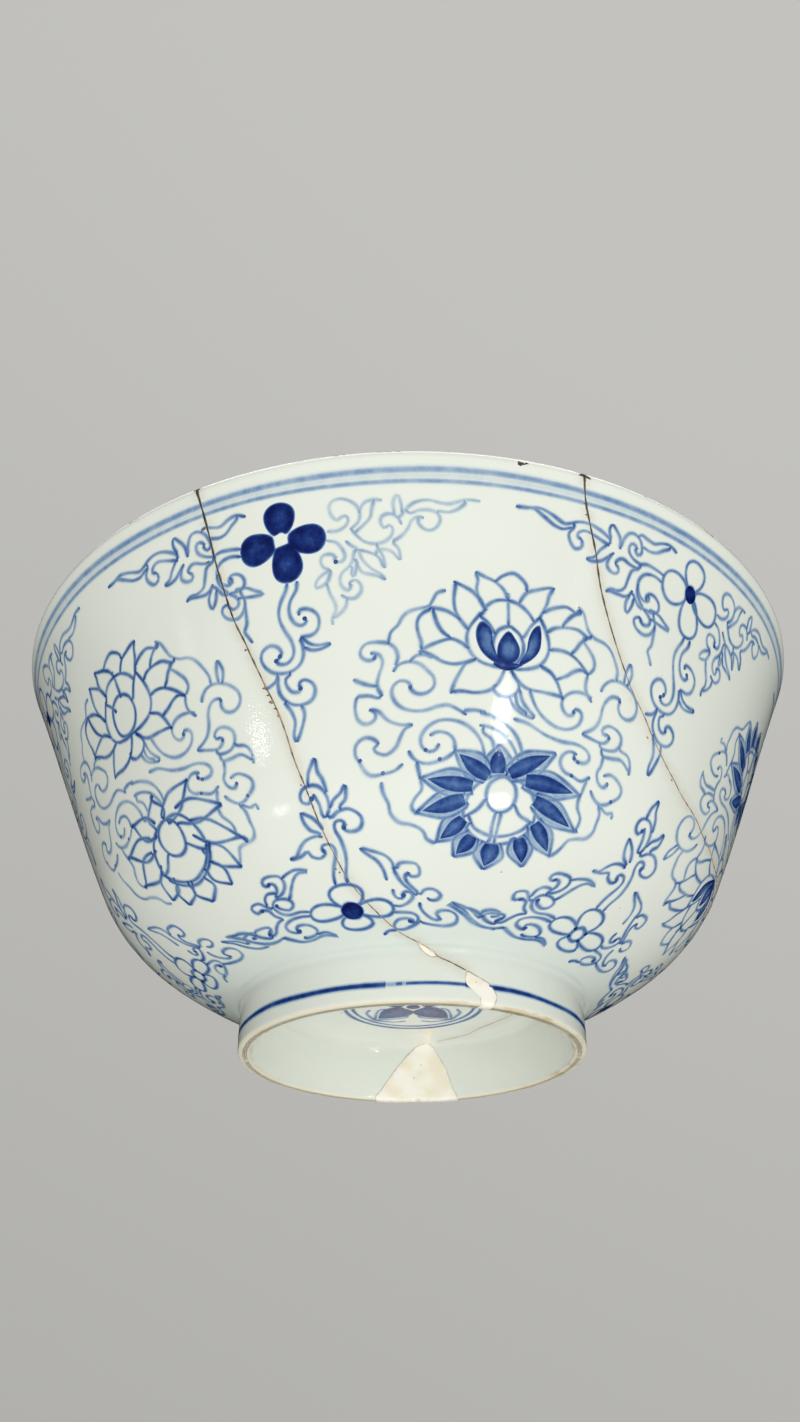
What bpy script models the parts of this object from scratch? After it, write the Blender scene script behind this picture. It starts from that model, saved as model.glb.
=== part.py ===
"""A cracked porcelain bowl: turned body on a foot ring, two cracks, rim chips and old filler in the foot.

Metres, +Z up. The origin is the centre of the foot ring's underside. Azimuths are in degrees from -Y
towards +X, so azimuth 0 faces -Y. A run is a place on the outer face: from 0 where the body springs
from the foot to 1 at the lip, and from 0 down to -1 on the outer face of the foot ring.
"""

import math

import bmesh
import bpy
import numpy as np

# Body
RIM_RADIUS = 0.0750
HEIGHT = 0.0715
SHOULDER_RADIUS = 0.0565
SHOULDER_HEIGHT = 0.0285
LOWER_SLOPE = 27.0
SHOULDER_SLOPE = 63.5
LIP_SLOPE = 64.5
LOWER_FULLNESS = 0.36
RIM_WALL = 0.0024
SPRING_WALL = 0.0055
WALL_THINNING = 1.6
FLOOR_WALL = 0.0032

# Foot ring
FOOT_RADIUS = 0.0302
FOOT_HEIGHT = 0.0088
FOOT_FOLD = 0.0012
FOOT_BOTTOM_WALL = 0.0020
FOOT_ROOT_WALL = 0.0039
FOOT_OUTER_BEVEL = 0.0007
FOOT_INNER_BEVEL = 0.0003
ROUND_MIDDLE = 0.3
BASE_HEIGHT = 0.0100

# Cracks and filler
CRACK_WIDTH = 0.0003
CRACK_DEPTH = 0.0008
BASE_CRACK_DEPTH = 0.0005
BASE_FILL_DEPTH = 0.0008
FLAKE_DEPTH = 0.0008
FILL_CLEARANCE = 0.0003
CUTTER_MARGIN = 0.0006

# Facets of the turned surfaces
TURN_STEPS = 80
LOWER_POINTS = 8
UPPER_POINTS = 6
FACE_POINTS = 60
LIP_POINTS = 6
FLOOR_POINTS = 6
SKIPPED_WALL_POINTS = 2

# The left crack, (azimuth, run): down the body from the lip, over the fold and across the foot ring
LEFT_CRACK = [
    (-26.0, 1.000), (-25.3, 0.930), (-24.9, 0.850), (-24.3, 0.790), (-22.5, 0.670), (-20.2, 0.580),
    (-18.2, 0.480), (-17.0, 0.410), (-15.0, 0.290), (-12.2, 0.160), (-8.7, 0.098), (-3.5, 0.035),
    (2.1, 0.003), (7.7, -0.200), (11.5, -0.300), (17.0, -0.430),
]
# The right crack leaves the lip steeply and swings round the side, where it fades out
RIGHT_CRACK = [
    (21.9, 1.000), (23.0, 0.940), (24.8, 0.860), (26.4, 0.780), (30.4, 0.670), (34.5, 0.600),
    (40.0, 0.530), (46.7, 0.475), (56.1, 0.435), (65.0, 0.410), (77.0, 0.400), (90.0, 0.390),
]
# The left crack goes on over the underside of the base, (azimuth, share of the base's radius)
BASE_CRACK = [
    (22.6, 0.985), (47.9, 0.795), (80.8, 0.716), (107.5, 0.746), (122.4, 0.738), (139.5, 0.755),
    (152.1, 0.830), (167.8, 0.902),
]
# The filled hollow in the underside of the base, in the same measures
BASE_FILL = [
    (175.3, 0.603), (164.2, 0.628), (169.7, 0.811), (170.8, 0.951), (174.9, 0.943), (174.0, 0.803),
]

# Filled breaks in the foot ring, each an outline (length along the ring, share of its height) at an azimuth
NEAR_FILL_AZIMUTH = 21.0
NEAR_FILL = [
    (-0.0024, 0.50), (0.0005, 0.40), (0.0021, 0.28), (0.0027, 0.12), (0.0023, -0.10),
    (0.0004, -0.10), (-0.0003, 0.08), (-0.0015, 0.26), (-0.0026, 0.29),
]
FAR_FILL_AZIMUTH = 178.0
FAR_FILL = [
    (-0.0027, 1.02), (-0.0012, 1.02), (0.0010, 0.87), (0.0034, 0.67), (0.0054, 0.37),
    (0.0081, 0.03), (0.0084, -0.10), (-0.0080, -0.10), (-0.0076, 0.01), (-0.0063, 0.25),
    (-0.0045, 0.65),
]
FLAKE_AZIMUTH = 5.0
FLAKE = [(-0.0017, 1.06), (0.0007, 0.94), (0.0017, 0.81), (0.0004, 0.77), (-0.0013, 0.93)]

# Chips in the lip: azimuth, radius of the scoop, height of its centre over the lip's top
CHIPS = [
    (-26.0, 0.0011, 0.0003),
    (21.9, 0.0012, 0.0003),
    (-1.7, 0.0030, 0.0025),
    (-8.1, 0.0007, 0.0003),
    (13.8, 0.0008, 0.0002),
    (-37.0, 0.0012, 0.0006),
    (42.0, 0.0009, 0.0004),
]
CHIP_STRETCH = 1.6
CHIP_INSET = 0.4


def heading(degrees):
    """Unit vector in the profile plane at an angle above the horizontal."""
    return np.array([math.cos(math.radians(degrees)), math.sin(math.radians(degrees))])


def bezier(start, start_handle, end_handle, end, count):
    """Points of a cubic curve between start and end."""
    t = np.linspace(0.0, 1.0, count)[:, None]
    return (
        (1 - t) ** 3 * start
        + 3 * (1 - t) ** 2 * t * start_handle
        + 3 * (1 - t) * t**2 * end_handle
        + t**3 * end
    )


def lip_centre():
    return np.array([RIM_RADIUS - RIM_WALL / 2, HEIGHT - RIM_WALL / 2])


def across(directions):
    """The same directions turned a quarter turn, so that they point into the wall."""
    return np.stack([-directions[..., 1], directions[..., 0]], axis=-1)


def outer_wall(lower_points, upper_points):
    """Outer wall from the spring to the lip, as (radius, height): two curves joined at the shoulder."""
    spring = np.array([FOOT_RADIUS + FOOT_FOLD, FOOT_HEIGHT])
    shoulder = np.array([SHOULDER_RADIUS, SHOULDER_HEIGHT])
    lip = lip_centre() - RIM_WALL / 2 * across(heading(LIP_SLOPE))
    reach = LOWER_FULLNESS * np.linalg.norm(shoulder - spring)
    lower = bezier(
        spring,
        spring + reach * heading(LOWER_SLOPE),
        shoulder - reach * heading(SHOULDER_SLOPE),
        shoulder,
        lower_points,
    )
    reach = np.linalg.norm(lip - shoulder) / 3
    upper = bezier(
        shoulder,
        shoulder + reach * heading(SHOULDER_SLOPE),
        lip - reach * heading(LIP_SLOPE),
        lip,
        upper_points,
    )
    return np.vstack([lower, upper[1:]])


def runs_of(points):
    """Share of the length from the first point to the last, at each point."""
    steps = np.linalg.norm(np.diff(points, axis=0), axis=1)
    run = np.concatenate([[0.0], np.cumsum(steps)])
    return run / run[-1]


def inward_at(points):
    """Direction into the wall at each point of an outer face that is listed upwards."""
    along = np.gradient(points, axis=0)
    return across(along / np.linalg.norm(along, axis=1)[:, None])


def thickness_at(run):
    """Wall thickness, thinning from the spring to the lip."""
    return RIM_WALL + (SPRING_WALL - RIM_WALL) * (1 - run) ** WALL_THINNING


def inner_wall(points):
    """Inner wall from the axis to the lip: the outer wall moved inwards, and a shallow floor inside it."""
    inward = inward_at(points)
    inward[-1] = across(heading(LIP_SLOPE))
    moved = points + thickness_at(runs_of(points))[:, None] * inward
    moved = moved[SKIPPED_WALL_POINTS:]
    join = moved[0]
    slope = moved[1] - moved[0]
    slope = slope / np.linalg.norm(slope)
    centre = np.array([0.0, BASE_HEIGHT + FLOOR_WALL])
    reach = min((join[1] - centre[1]) / slope[1], join[0] / 2)
    floor = bezier(
        centre,
        centre + np.array([join[0] / 2, 0.0]),
        join - reach * slope,
        join,
        FLOOR_POINTS,
    )
    return np.vstack([floor, moved[1:]])


def lip():
    """The half round edge from the inner wall over to the outer wall, without its ends."""
    turn = np.linspace(180.0, 0.0, LIP_POINTS + 2)[1:-1] + LIP_SLOPE - 90.0
    return lip_centre() + RIM_WALL / 2 * np.array([heading(degrees) for degrees in turn])


def fold():
    """The hollow curve from the foot ring's outer face to the spring, listed upwards, without the spring."""
    return np.array(
        [
            (FOOT_RADIUS, FOOT_HEIGHT - FOOT_FOLD),
            (FOOT_RADIUS + ROUND_MIDDLE * FOOT_FOLD, FOOT_HEIGHT - ROUND_MIDDLE * FOOT_FOLD),
        ]
    )


def foot():
    """Foot ring and underside of the base, from below the spring round to the axis."""
    inner = FOOT_RADIUS - FOOT_BOTTOM_WALL
    below = [
        (FOOT_RADIUS, FOOT_OUTER_BEVEL),
        (FOOT_RADIUS - ROUND_MIDDLE * FOOT_OUTER_BEVEL, ROUND_MIDDLE * FOOT_OUTER_BEVEL),
        (FOOT_RADIUS - FOOT_OUTER_BEVEL, 0.0),
        (inner + FOOT_INNER_BEVEL, 0.0),
        (inner, FOOT_INNER_BEVEL),
        (base_radius(), BASE_HEIGHT),
        (0.0, BASE_HEIGHT),
    ]
    return np.vstack([fold()[::-1], below])


def base_radius():
    return FOOT_RADIUS - FOOT_ROOT_WALL


def section():
    """Half section of the whole bowl, from the axis inside over the lip to the axis underneath."""
    wall = outer_wall(LOWER_POINTS, UPPER_POINTS)
    return np.vstack([inner_wall(wall), lip(), wall[::-1], foot()])


def place(radius, azimuth, height):
    """World position from a radius, an azimuth in degrees and a height."""
    turn = math.radians(azimuth)
    return (radius * math.sin(turn), -radius * math.cos(turn), height)


def new_object(name, mesh, collection):
    obj = bpy.data.objects.new(name, mesh)
    collection.objects.link(obj)
    return obj


def as_cutter(obj):
    obj.hide_render = True
    obj.display_type = "WIRE"
    return obj


def turned(name, profile, collection):
    """A solid of revolution about Z."""
    mesh = bpy.data.meshes.new(name)
    edges = [(index, index + 1) for index in range(len(profile) - 1)]
    mesh.from_pydata([(radius, 0.0, height) for radius, height in profile], edges, [])
    obj = new_object(name, mesh, collection)
    screw = obj.modifiers.new("Turn", "SCREW")
    screw.axis = "Z"
    screw.steps = TURN_STEPS
    screw.render_steps = TURN_STEPS
    screw.use_merge_vertices = True
    screw.merge_threshold = 0.00001
    screw.use_smooth_shade = True
    return obj


def ribbon(name, rails, collection, width):
    """A thin wall over a strip of cross lines, used to cut a groove."""
    mesh = bpy.data.meshes.new(name)
    points = [point for rail in rails for point in rail]
    faces = [(2 * i, 2 * i + 1, 2 * i + 3, 2 * i + 2) for i in range(len(rails) - 1)]
    mesh.from_pydata(points, [], faces)
    obj = new_object(name, mesh, collection)
    solidify = obj.modifiers.new("Width", "SOLIDIFY")
    solidify.thickness = width
    solidify.offset = 0.0
    return as_cutter(obj)


def outer_face():
    """The whole outer face listed upwards, as (run, radius, height, inward radius, inward height)."""
    wall = outer_wall(FACE_POINTS, FACE_POINTS)
    ring = np.vstack([[(FOOT_RADIUS, 0.0)], fold()])
    face = np.vstack([ring, wall])
    run = np.concatenate([(ring[:, 1] - FOOT_HEIGHT) / FOOT_HEIGHT, runs_of(wall)])
    return np.column_stack([run, face, inward_at(face)])


def face_point(face, azimuth, run, inset):
    """A point at a run on the outer face, moved into the wall by inset."""
    radius, height, into, up = (np.interp(run, face[:, 0], face[:, column]) for column in range(1, 5))
    return place(radius + inset * into, azimuth, height + inset * up)


def over_the_lip(rail):
    """The first rail of a crack, lifted clear of the lip."""
    return [(x, y, z + RIM_WALL) for x, y, z in rail]


def outside_groove(name, path, face, collection):
    insets = (-CUTTER_MARGIN, CRACK_DEPTH)
    rails = [[face_point(face, azimuth, run, inset) for inset in insets] for azimuth, run in path]
    return ribbon(name, [over_the_lip(rails[0])] + rails, collection, CRACK_WIDTH)


def inside_groove(name, path, face, collection):
    """The same crack on the inner face, as far down as the wall goes."""
    rails = []
    for azimuth, run in path:
        if run > 0:
            insets = (thickness_at(run) - CRACK_DEPTH, thickness_at(run) + CUTTER_MARGIN)
            rails.append([face_point(face, azimuth, run, inset) for inset in insets])
    return ribbon(name, [over_the_lip(rails[0])] + rails, collection, CRACK_WIDTH)


def base_groove(name, collection):
    levels = (BASE_HEIGHT - CUTTER_MARGIN, BASE_HEIGHT + BASE_CRACK_DEPTH)
    rails = [
        [place(share * base_radius(), azimuth, level) for level in levels]
        for azimuth, share in BASE_CRACK
    ]
    return ribbon(name, rails, collection, CRACK_WIDTH)


def shrunk(outline, distance):
    """An outline moved inwards by a distance, each corner to where its two moved sides cross."""
    points = np.array(outline)
    ahead = np.roll(points, -1, axis=0) - points
    ahead = ahead / np.linalg.norm(ahead, axis=1)[:, None]
    area = np.sum(points[:, 0] * np.roll(points, -1, axis=0)[:, 1])
    area -= np.sum(points[:, 1] * np.roll(points, -1, axis=0)[:, 0])
    inward = across(ahead) * math.copysign(1.0, area)
    behind = np.roll(inward, 1, axis=0)
    middle = inward + behind
    middle = middle / np.sum(middle * inward, axis=1)[:, None]
    return points + distance * middle


def extruded(name, corners, along, collection):
    """A prism: one flat face of the given corners, pushed out along a vector."""
    shape = bmesh.new()
    face = shape.faces.new([shape.verts.new(corner) for corner in corners])
    pushed = bmesh.ops.extrude_face_region(shape, geom=[face])["geom"]
    moved = [item for item in pushed if isinstance(item, bmesh.types.BMVert)]
    bmesh.ops.translate(shape, verts=moved, vec=along)
    bmesh.ops.recalc_face_normals(shape, faces=shape.faces)
    mesh = bpy.data.meshes.new(name)
    shape.to_mesh(mesh)
    shape.free()
    return new_object(name, mesh, collection)


def radial_block(name, azimuth, outline, near, far, collection):
    """A prism over an outline that stands on the foot ring, from the near to the far distance."""
    side = np.array(place(1.0, azimuth + 90.0, 0.0))
    out = np.array(place(1.0, azimuth, 0.0))
    up = np.array([0.0, 0.0, 1.0])
    corners = [near * out + along * side + rise * up for along, rise in outline]
    return extruded(name, corners, (far - near) * out, collection)


def chip(name, azimuth, radius, rise, collection):
    """A shallow scoop in the lip, longer round the rim than across it."""
    shape = bmesh.new()
    bmesh.ops.create_uvsphere(shape, u_segments=12, v_segments=8, radius=radius)
    bmesh.ops.scale(shape, vec=(CHIP_STRETCH, 1.0, 1.0), verts=shape.verts)
    mesh = bpy.data.meshes.new(name)
    shape.to_mesh(mesh)
    shape.free()
    obj = new_object(name, mesh, collection)
    obj.location = place(RIM_RADIUS - CHIP_INSET * RIM_WALL, azimuth, HEIGHT + rise)
    obj.rotation_euler = (0.0, 0.0, math.radians(azimuth))
    return as_cutter(obj)


def boolean(obj, operation, other):
    modifier = obj.modifiers.new(other.name, "BOOLEAN")
    modifier.operation = operation
    modifier.solver = "EXACT"
    modifier.object = other


def material(name, colour, roughness):
    made = bpy.data.materials.new(name)
    made.use_nodes = True
    shader = made.node_tree.nodes["Principled BSDF"]
    shader.inputs["Base Color"].default_value = (*colour, 1.0)
    shader.inputs["Roughness"].default_value = roughness
    shader.inputs["Metallic"].default_value = 0.0
    return made


def standing(outline, height):
    """An outline with its shares of a height made real heights."""
    return [(along, share * height) for along, share in outline]


def ring_fills():
    """Each filled break in the foot ring: name, azimuth, outline, nearest and farthest distance."""
    inside = base_radius() - 2 * CUTTER_MARGIN
    outside = FOOT_RADIUS + CUTTER_MARGIN
    flake = (FOOT_RADIUS - FLAKE_DEPTH, FOOT_RADIUS + 3 * FOOT_FOLD)
    return [
        ("near_foot_fill", NEAR_FILL_AZIMUTH, standing(NEAR_FILL, BASE_HEIGHT), inside, outside),
        ("far_foot_fill", FAR_FILL_AZIMUTH, standing(FAR_FILL, BASE_HEIGHT), inside, outside),
        ("flake_fill", FLAKE_AZIMUTH, standing(FLAKE, FOOT_HEIGHT), *flake),
    ]


def base_block(name, outline, bottom, top, collection):
    """A prism over a plan outline on the underside of the base."""
    return extruded(name, [(x, y, bottom) for x, y in outline], (0.0, 0.0, top - bottom), collection)


def build():
    for obj in list(bpy.data.objects):
        bpy.data.objects.remove(obj, do_unlink=True)
    parts = bpy.data.collections.new("cracked_bowl")
    cutters = bpy.data.collections.new("cutters")
    bpy.context.scene.collection.children.link(parts)
    bpy.context.scene.collection.children.link(cutters)
    porcelain = material("porcelain", (0.78, 0.82, 0.80), 0.12)
    filler = material("filler", (0.86, 0.80, 0.62), 0.75)

    bowl = turned("bowl", section(), parts)
    bowl.data.materials.append(porcelain)
    blank = as_cutter(turned("uncut_bowl", section(), cutters))

    for name, azimuth, outline, near, far in ring_fills():
        pocket = as_cutter(radial_block(f"{name}_pocket", azimuth, outline, near, far, cutters))
        boolean(bowl, "DIFFERENCE", pocket)
        kept = shrunk(outline, FILL_CLEARANCE)
        fill = radial_block(name, azimuth, kept, near + FILL_CLEARANCE, far - FILL_CLEARANCE, parts)
        boolean(fill, "INTERSECT", blank)
        fill.data.materials.append(filler)

    outline = [place(share * base_radius(), azimuth, 0.0)[:2] for azimuth, share in BASE_FILL]
    fill_top = BASE_HEIGHT + BASE_FILL_DEPTH
    pocket = base_block(
        "base_fill_pocket", outline, BASE_HEIGHT - CUTTER_MARGIN, fill_top + FILL_CLEARANCE, cutters
    )
    boolean(bowl, "DIFFERENCE", as_cutter(pocket))
    fill = base_block("base_fill", shrunk(outline, FILL_CLEARANCE), BASE_HEIGHT, fill_top, parts)
    fill.data.materials.append(filler)

    face = outer_face()
    grooves = [
        outside_groove("left_crack_outside", LEFT_CRACK, face, cutters),
        inside_groove("left_crack_inside", LEFT_CRACK, face, cutters),
        outside_groove("right_crack_outside", RIGHT_CRACK, face, cutters),
        inside_groove("right_crack_inside", RIGHT_CRACK, face, cutters),
        base_groove("base_crack", cutters),
    ]
    for cutter in grooves:
        boolean(bowl, "DIFFERENCE", cutter)
    for number, (azimuth, radius, rise) in enumerate(CHIPS):
        boolean(bowl, "DIFFERENCE", chip(f"chip_{number}", azimuth, radius, rise, cutters))


build()
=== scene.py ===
"""Looks of the cracked porcelain bowl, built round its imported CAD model.

Metres, +Z up, the foot ring's tread on z = 0. An azimuth is in degrees from -Y towards +X. A length is
measured along the bowl's section from the spring, where the wall leaves the foot ring: positive up the
outer wall, over the lip and down the inside, negative over the foot ring and the base underneath.
The painting is listed in millimetres, each motif round its own centre: across to the right, then upwards.
"""

import math

import bpy
import numpy as np
from mathutils import Matrix, Vector


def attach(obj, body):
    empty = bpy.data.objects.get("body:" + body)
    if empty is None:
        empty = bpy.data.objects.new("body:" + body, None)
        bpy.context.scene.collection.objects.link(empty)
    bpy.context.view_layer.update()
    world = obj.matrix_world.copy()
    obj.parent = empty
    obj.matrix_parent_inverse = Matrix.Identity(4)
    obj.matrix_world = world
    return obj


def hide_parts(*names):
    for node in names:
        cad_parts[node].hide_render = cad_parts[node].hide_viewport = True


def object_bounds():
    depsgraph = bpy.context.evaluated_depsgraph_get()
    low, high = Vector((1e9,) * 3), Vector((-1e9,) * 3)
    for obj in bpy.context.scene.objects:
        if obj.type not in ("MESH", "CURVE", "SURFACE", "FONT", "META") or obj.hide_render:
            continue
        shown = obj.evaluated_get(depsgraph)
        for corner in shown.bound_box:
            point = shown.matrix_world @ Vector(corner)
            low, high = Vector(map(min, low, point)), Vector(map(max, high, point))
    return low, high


bl_info = {
    "name": "Cracked Porcelain Bowl",
    "version": (1, 0, 0),
    "blender": (4, 5, 0),
    "location": "View3D > Sidebar > Bowl",
    "description": "Builds a cracked blue and white porcelain bowl with its painting, fills and studio",
    "category": "Object",
}

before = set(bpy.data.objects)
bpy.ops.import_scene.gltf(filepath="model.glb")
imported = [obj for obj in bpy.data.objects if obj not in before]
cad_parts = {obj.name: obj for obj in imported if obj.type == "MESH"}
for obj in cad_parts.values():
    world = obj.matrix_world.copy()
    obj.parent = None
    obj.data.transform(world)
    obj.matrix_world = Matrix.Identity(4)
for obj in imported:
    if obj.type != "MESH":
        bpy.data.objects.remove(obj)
CAD_LOW, CAD_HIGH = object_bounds()
MM = 0.001

# Section of the bowl, the same shape as the CAD solid
RIM_RADIUS = CAD_HIGH.x
HEIGHT = CAD_HIGH.z
SHOULDER = (0.0565, 0.0285)
SPRING = (0.0314, 0.0088)
LOWER_SLOPE = 27.0
SHOULDER_SLOPE = 63.5
LIP_SLOPE = 64.5
LOWER_FULLNESS = 0.36
RIM_WALL = 0.0024
SPRING_WALL = 0.0055
WALL_THINNING = 1.6
FLOOR_TOP = 0.0132
FOOT_RADIUS = 0.0302
TREAD_INSIDE = 0.0280
BASE_RADIUS = 0.0263
BASE_HEIGHT = 0.0100
FOOT_CORNERS = ((BASE_RADIUS, BASE_HEIGHT, 0.0012), (TREAD_INSIDE, 0.0, 0.0005), (FOOT_RADIUS, 0.0, 0.0007))

# Lengths from the spring, in millimetres, where the lip's rounding starts and ends
LIP_START, LIP_END = 77.8, 81.6

# The outer wall's points on each of its two curves, and the point where the inner wall turns into the floor
WALL_POINTS = 200
FLOOR_JOIN = 58

# The photo's camera, fitted to the rim, the foot and the sides. It takes strokes read off the photo, in
# pixels, to places on the wall. The height is the designed one, as the measured one carries a rounding
PHOTO_MIDDLE = (400.0, 711.0)
PHOTO_FOCAL = 1157.58618
PHOTO_PLACE = (0.0, -0.202077578, -0.05814666)
PHOTO_TURN = (0.572036843, -0.007975651, -0.008342594)
PHOTO_REACH = (0.08, 0.36)
PHOTO_STEPS = 6000
DESIGN_HEIGHT = 0.0715

# Roundel of two peony heads and scrolls
OPEN_PETALS = [
    [(-0.5, 7.8), (-2.6, 7.9), (-4.6, 8.5), (-6.0, 9.8), (-6.6, 11.5), (-6.4, 13.3), (-5.0, 15.4)],
    [(-5.0, 15.4), (-3.6, 14.3), (-2.5, 12.9)],
    [(-0.3, 7.8), (2.2, 7.9), (4.6, 8.7), (5.9, 10.2), (6.3, 12.0), (5.7, 14.2), (4.5, 16.3)],
    [(4.5, 16.3), (3.2, 14.8), (2.2, 13.0)],
    [(-4.4, 15.9), (-4.0, 16.9), (-2.6, 17.9), (-0.7, 18.2)],
    [(-0.7, 18.2), (1.0, 17.8), (2.6, 16.7), (3.6, 15.5)],
    [(-0.8, 19.0), (-0.6, 17.0), (-0.4, 14.3)],
    [(-2.9, 20.8), (-1.9, 21.8), (-0.2, 22.5), (1.2, 21.8), (2.0, 20.9), (2.1, 20.0)],
    [(-6.1, 22.0), (-4.5, 21.4), (-2.9, 20.8), (-1.5, 19.7), (-0.8, 18.4)],
    [(-6.0, 22.0), (-5.6, 20.8), (-5.7, 19.4), (-5.2, 17.9), (-4.1, 16.4)],
    [(6.7, 21.2), (5.4, 21.1), (3.8, 20.5), (2.3, 19.9), (1.5, 18.9), (1.0, 17.9)],
    [(6.4, 21.2), (5.8, 20.0), (5.5, 18.6), (4.9, 17.2), (4.5, 16.3)],
    [(-9.3, 20.3), (-7.8, 19.7), (-6.2, 18.9), (-5.0, 17.8), (-4.2, 16.5)],
    [(-8.9, 20.0), (-9.0, 17.8), (-8.7, 16.0), (-7.9, 14.6), (-6.6, 13.2)],
    [(-12.4, 16.1), (-10.6, 15.9), (-9.2, 15.4), (-7.9, 14.6)],
    [(-12.0, 15.8), (-11.3, 13.9), (-10.3, 12.5), (-9.0, 11.6)],
    [(-13.3, 9.6), (-12.0, 10.4), (-10.4, 11.1), (-8.9, 11.5), (-7.4, 11.0), (-6.2, 10.2)],
    [(-13.2, 9.5), (-11.5, 8.8), (-10.0, 8.0), (-8.3, 7.7), (-6.6, 8.0), (-5.2, 8.6)],
    [(-12.4, 15.9), (-13.6, 15.2), (-14.2, 14.0), (-14.0, 12.5), (-13.4, 11.0), (-13.2, 9.8)],
    [(-8.3, 3.2), (-7.9, 5.0), (-7.1, 6.8), (-6.4, 8.0), (-5.1, 8.6)],
    [(-8.2, 3.5), (-6.8, 3.7), (-4.8, 3.6), (-2.9, 4.0), (-1.6, 5.0), (-0.9, 6.4), (-0.5, 7.7)],
    [(-1.8, 5.0), (-1.9, 4.2), (-0.5, 3.4), (1.1, 3.8), (1.9, 4.8), (1.7, 6.0), (0.6, 7.4)],
    [(0.8, 7.0), (1.9, 5.9), (3.4, 5.1), (6.0, 5.0), (9.0, 4.9)],
    [(5.4, 8.8), (7.0, 8.1), (8.0, 6.9), (8.6, 5.7), (9.1, 4.4)],
    [(6.3, 11.6), (8.0, 11.9), (9.8, 11.7), (11.5, 10.8), (13.2, 9.2)],
    [(13.2, 9.3), (12.1, 9.7), (10.8, 9.2), (9.5, 8.2), (8.2, 7.5)],
    [(6.0, 14.4), (7.2, 15.2), (9.0, 15.6), (11.0, 15.7), (12.8, 14.9)],
    [(12.6, 14.8), (11.5, 13.7), (10.8, 12.6), (10.1, 11.8)],
    [(4.9, 17.1), (5.9, 17.8), (7.5, 18.5), (9.0, 18.8), (10.8, 18.1)],
    [(10.7, 18.3), (9.8, 17.6), (8.9, 16.6), (8.3, 15.6)],
]
BLUE_HEART = [
    [(-0.4, 14.2), (-1.9, 13.4), (-2.6, 11.8), (-2.4, 10.2), (-1.4, 8.6), (-0.4, 7.9), (0.9, 8.4),
     (2.0, 9.8), (2.2, 11.4), (1.6, 13.0), (0.3, 14.0), (-0.4, 14.2)],
]
BLUE_HEART_FILLS = [
    [(-4.4, 14.5), (-3.0, 13.4), (-2.6, 11.4), (-1.7, 9.4), (-0.7, 8.2), (-2.4, 8.6), (-4.1, 9.8),
     (-5.1, 11.6), (-5.2, 13.4)],
    [(-0.3, 13.4), (0.8, 12.4), (1.6, 11.0), (1.5, 9.6), (0.6, 8.6), (-0.7, 8.5), (-1.7, 9.3),
     (-1.8, 10.9), (-1.3, 12.3)],
    [(4.5, 15.0), (4.9, 13.6), (4.8, 11.4), (3.7, 9.7), (1.6, 8.3), (2.0, 9.4), (2.7, 10.8), (2.9, 12.6),
     (3.5, 14.2)],
]
PALE_HEART = [
    [(-1.0, 14.9), (-3.2, 13.9), (-3.9, 11.6), (-3.1, 9.1), (-1.0, 8.1), (1.0, 9.1), (1.9, 11.4),
     (1.2, 13.8), (-1.0, 14.9)],
]
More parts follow.
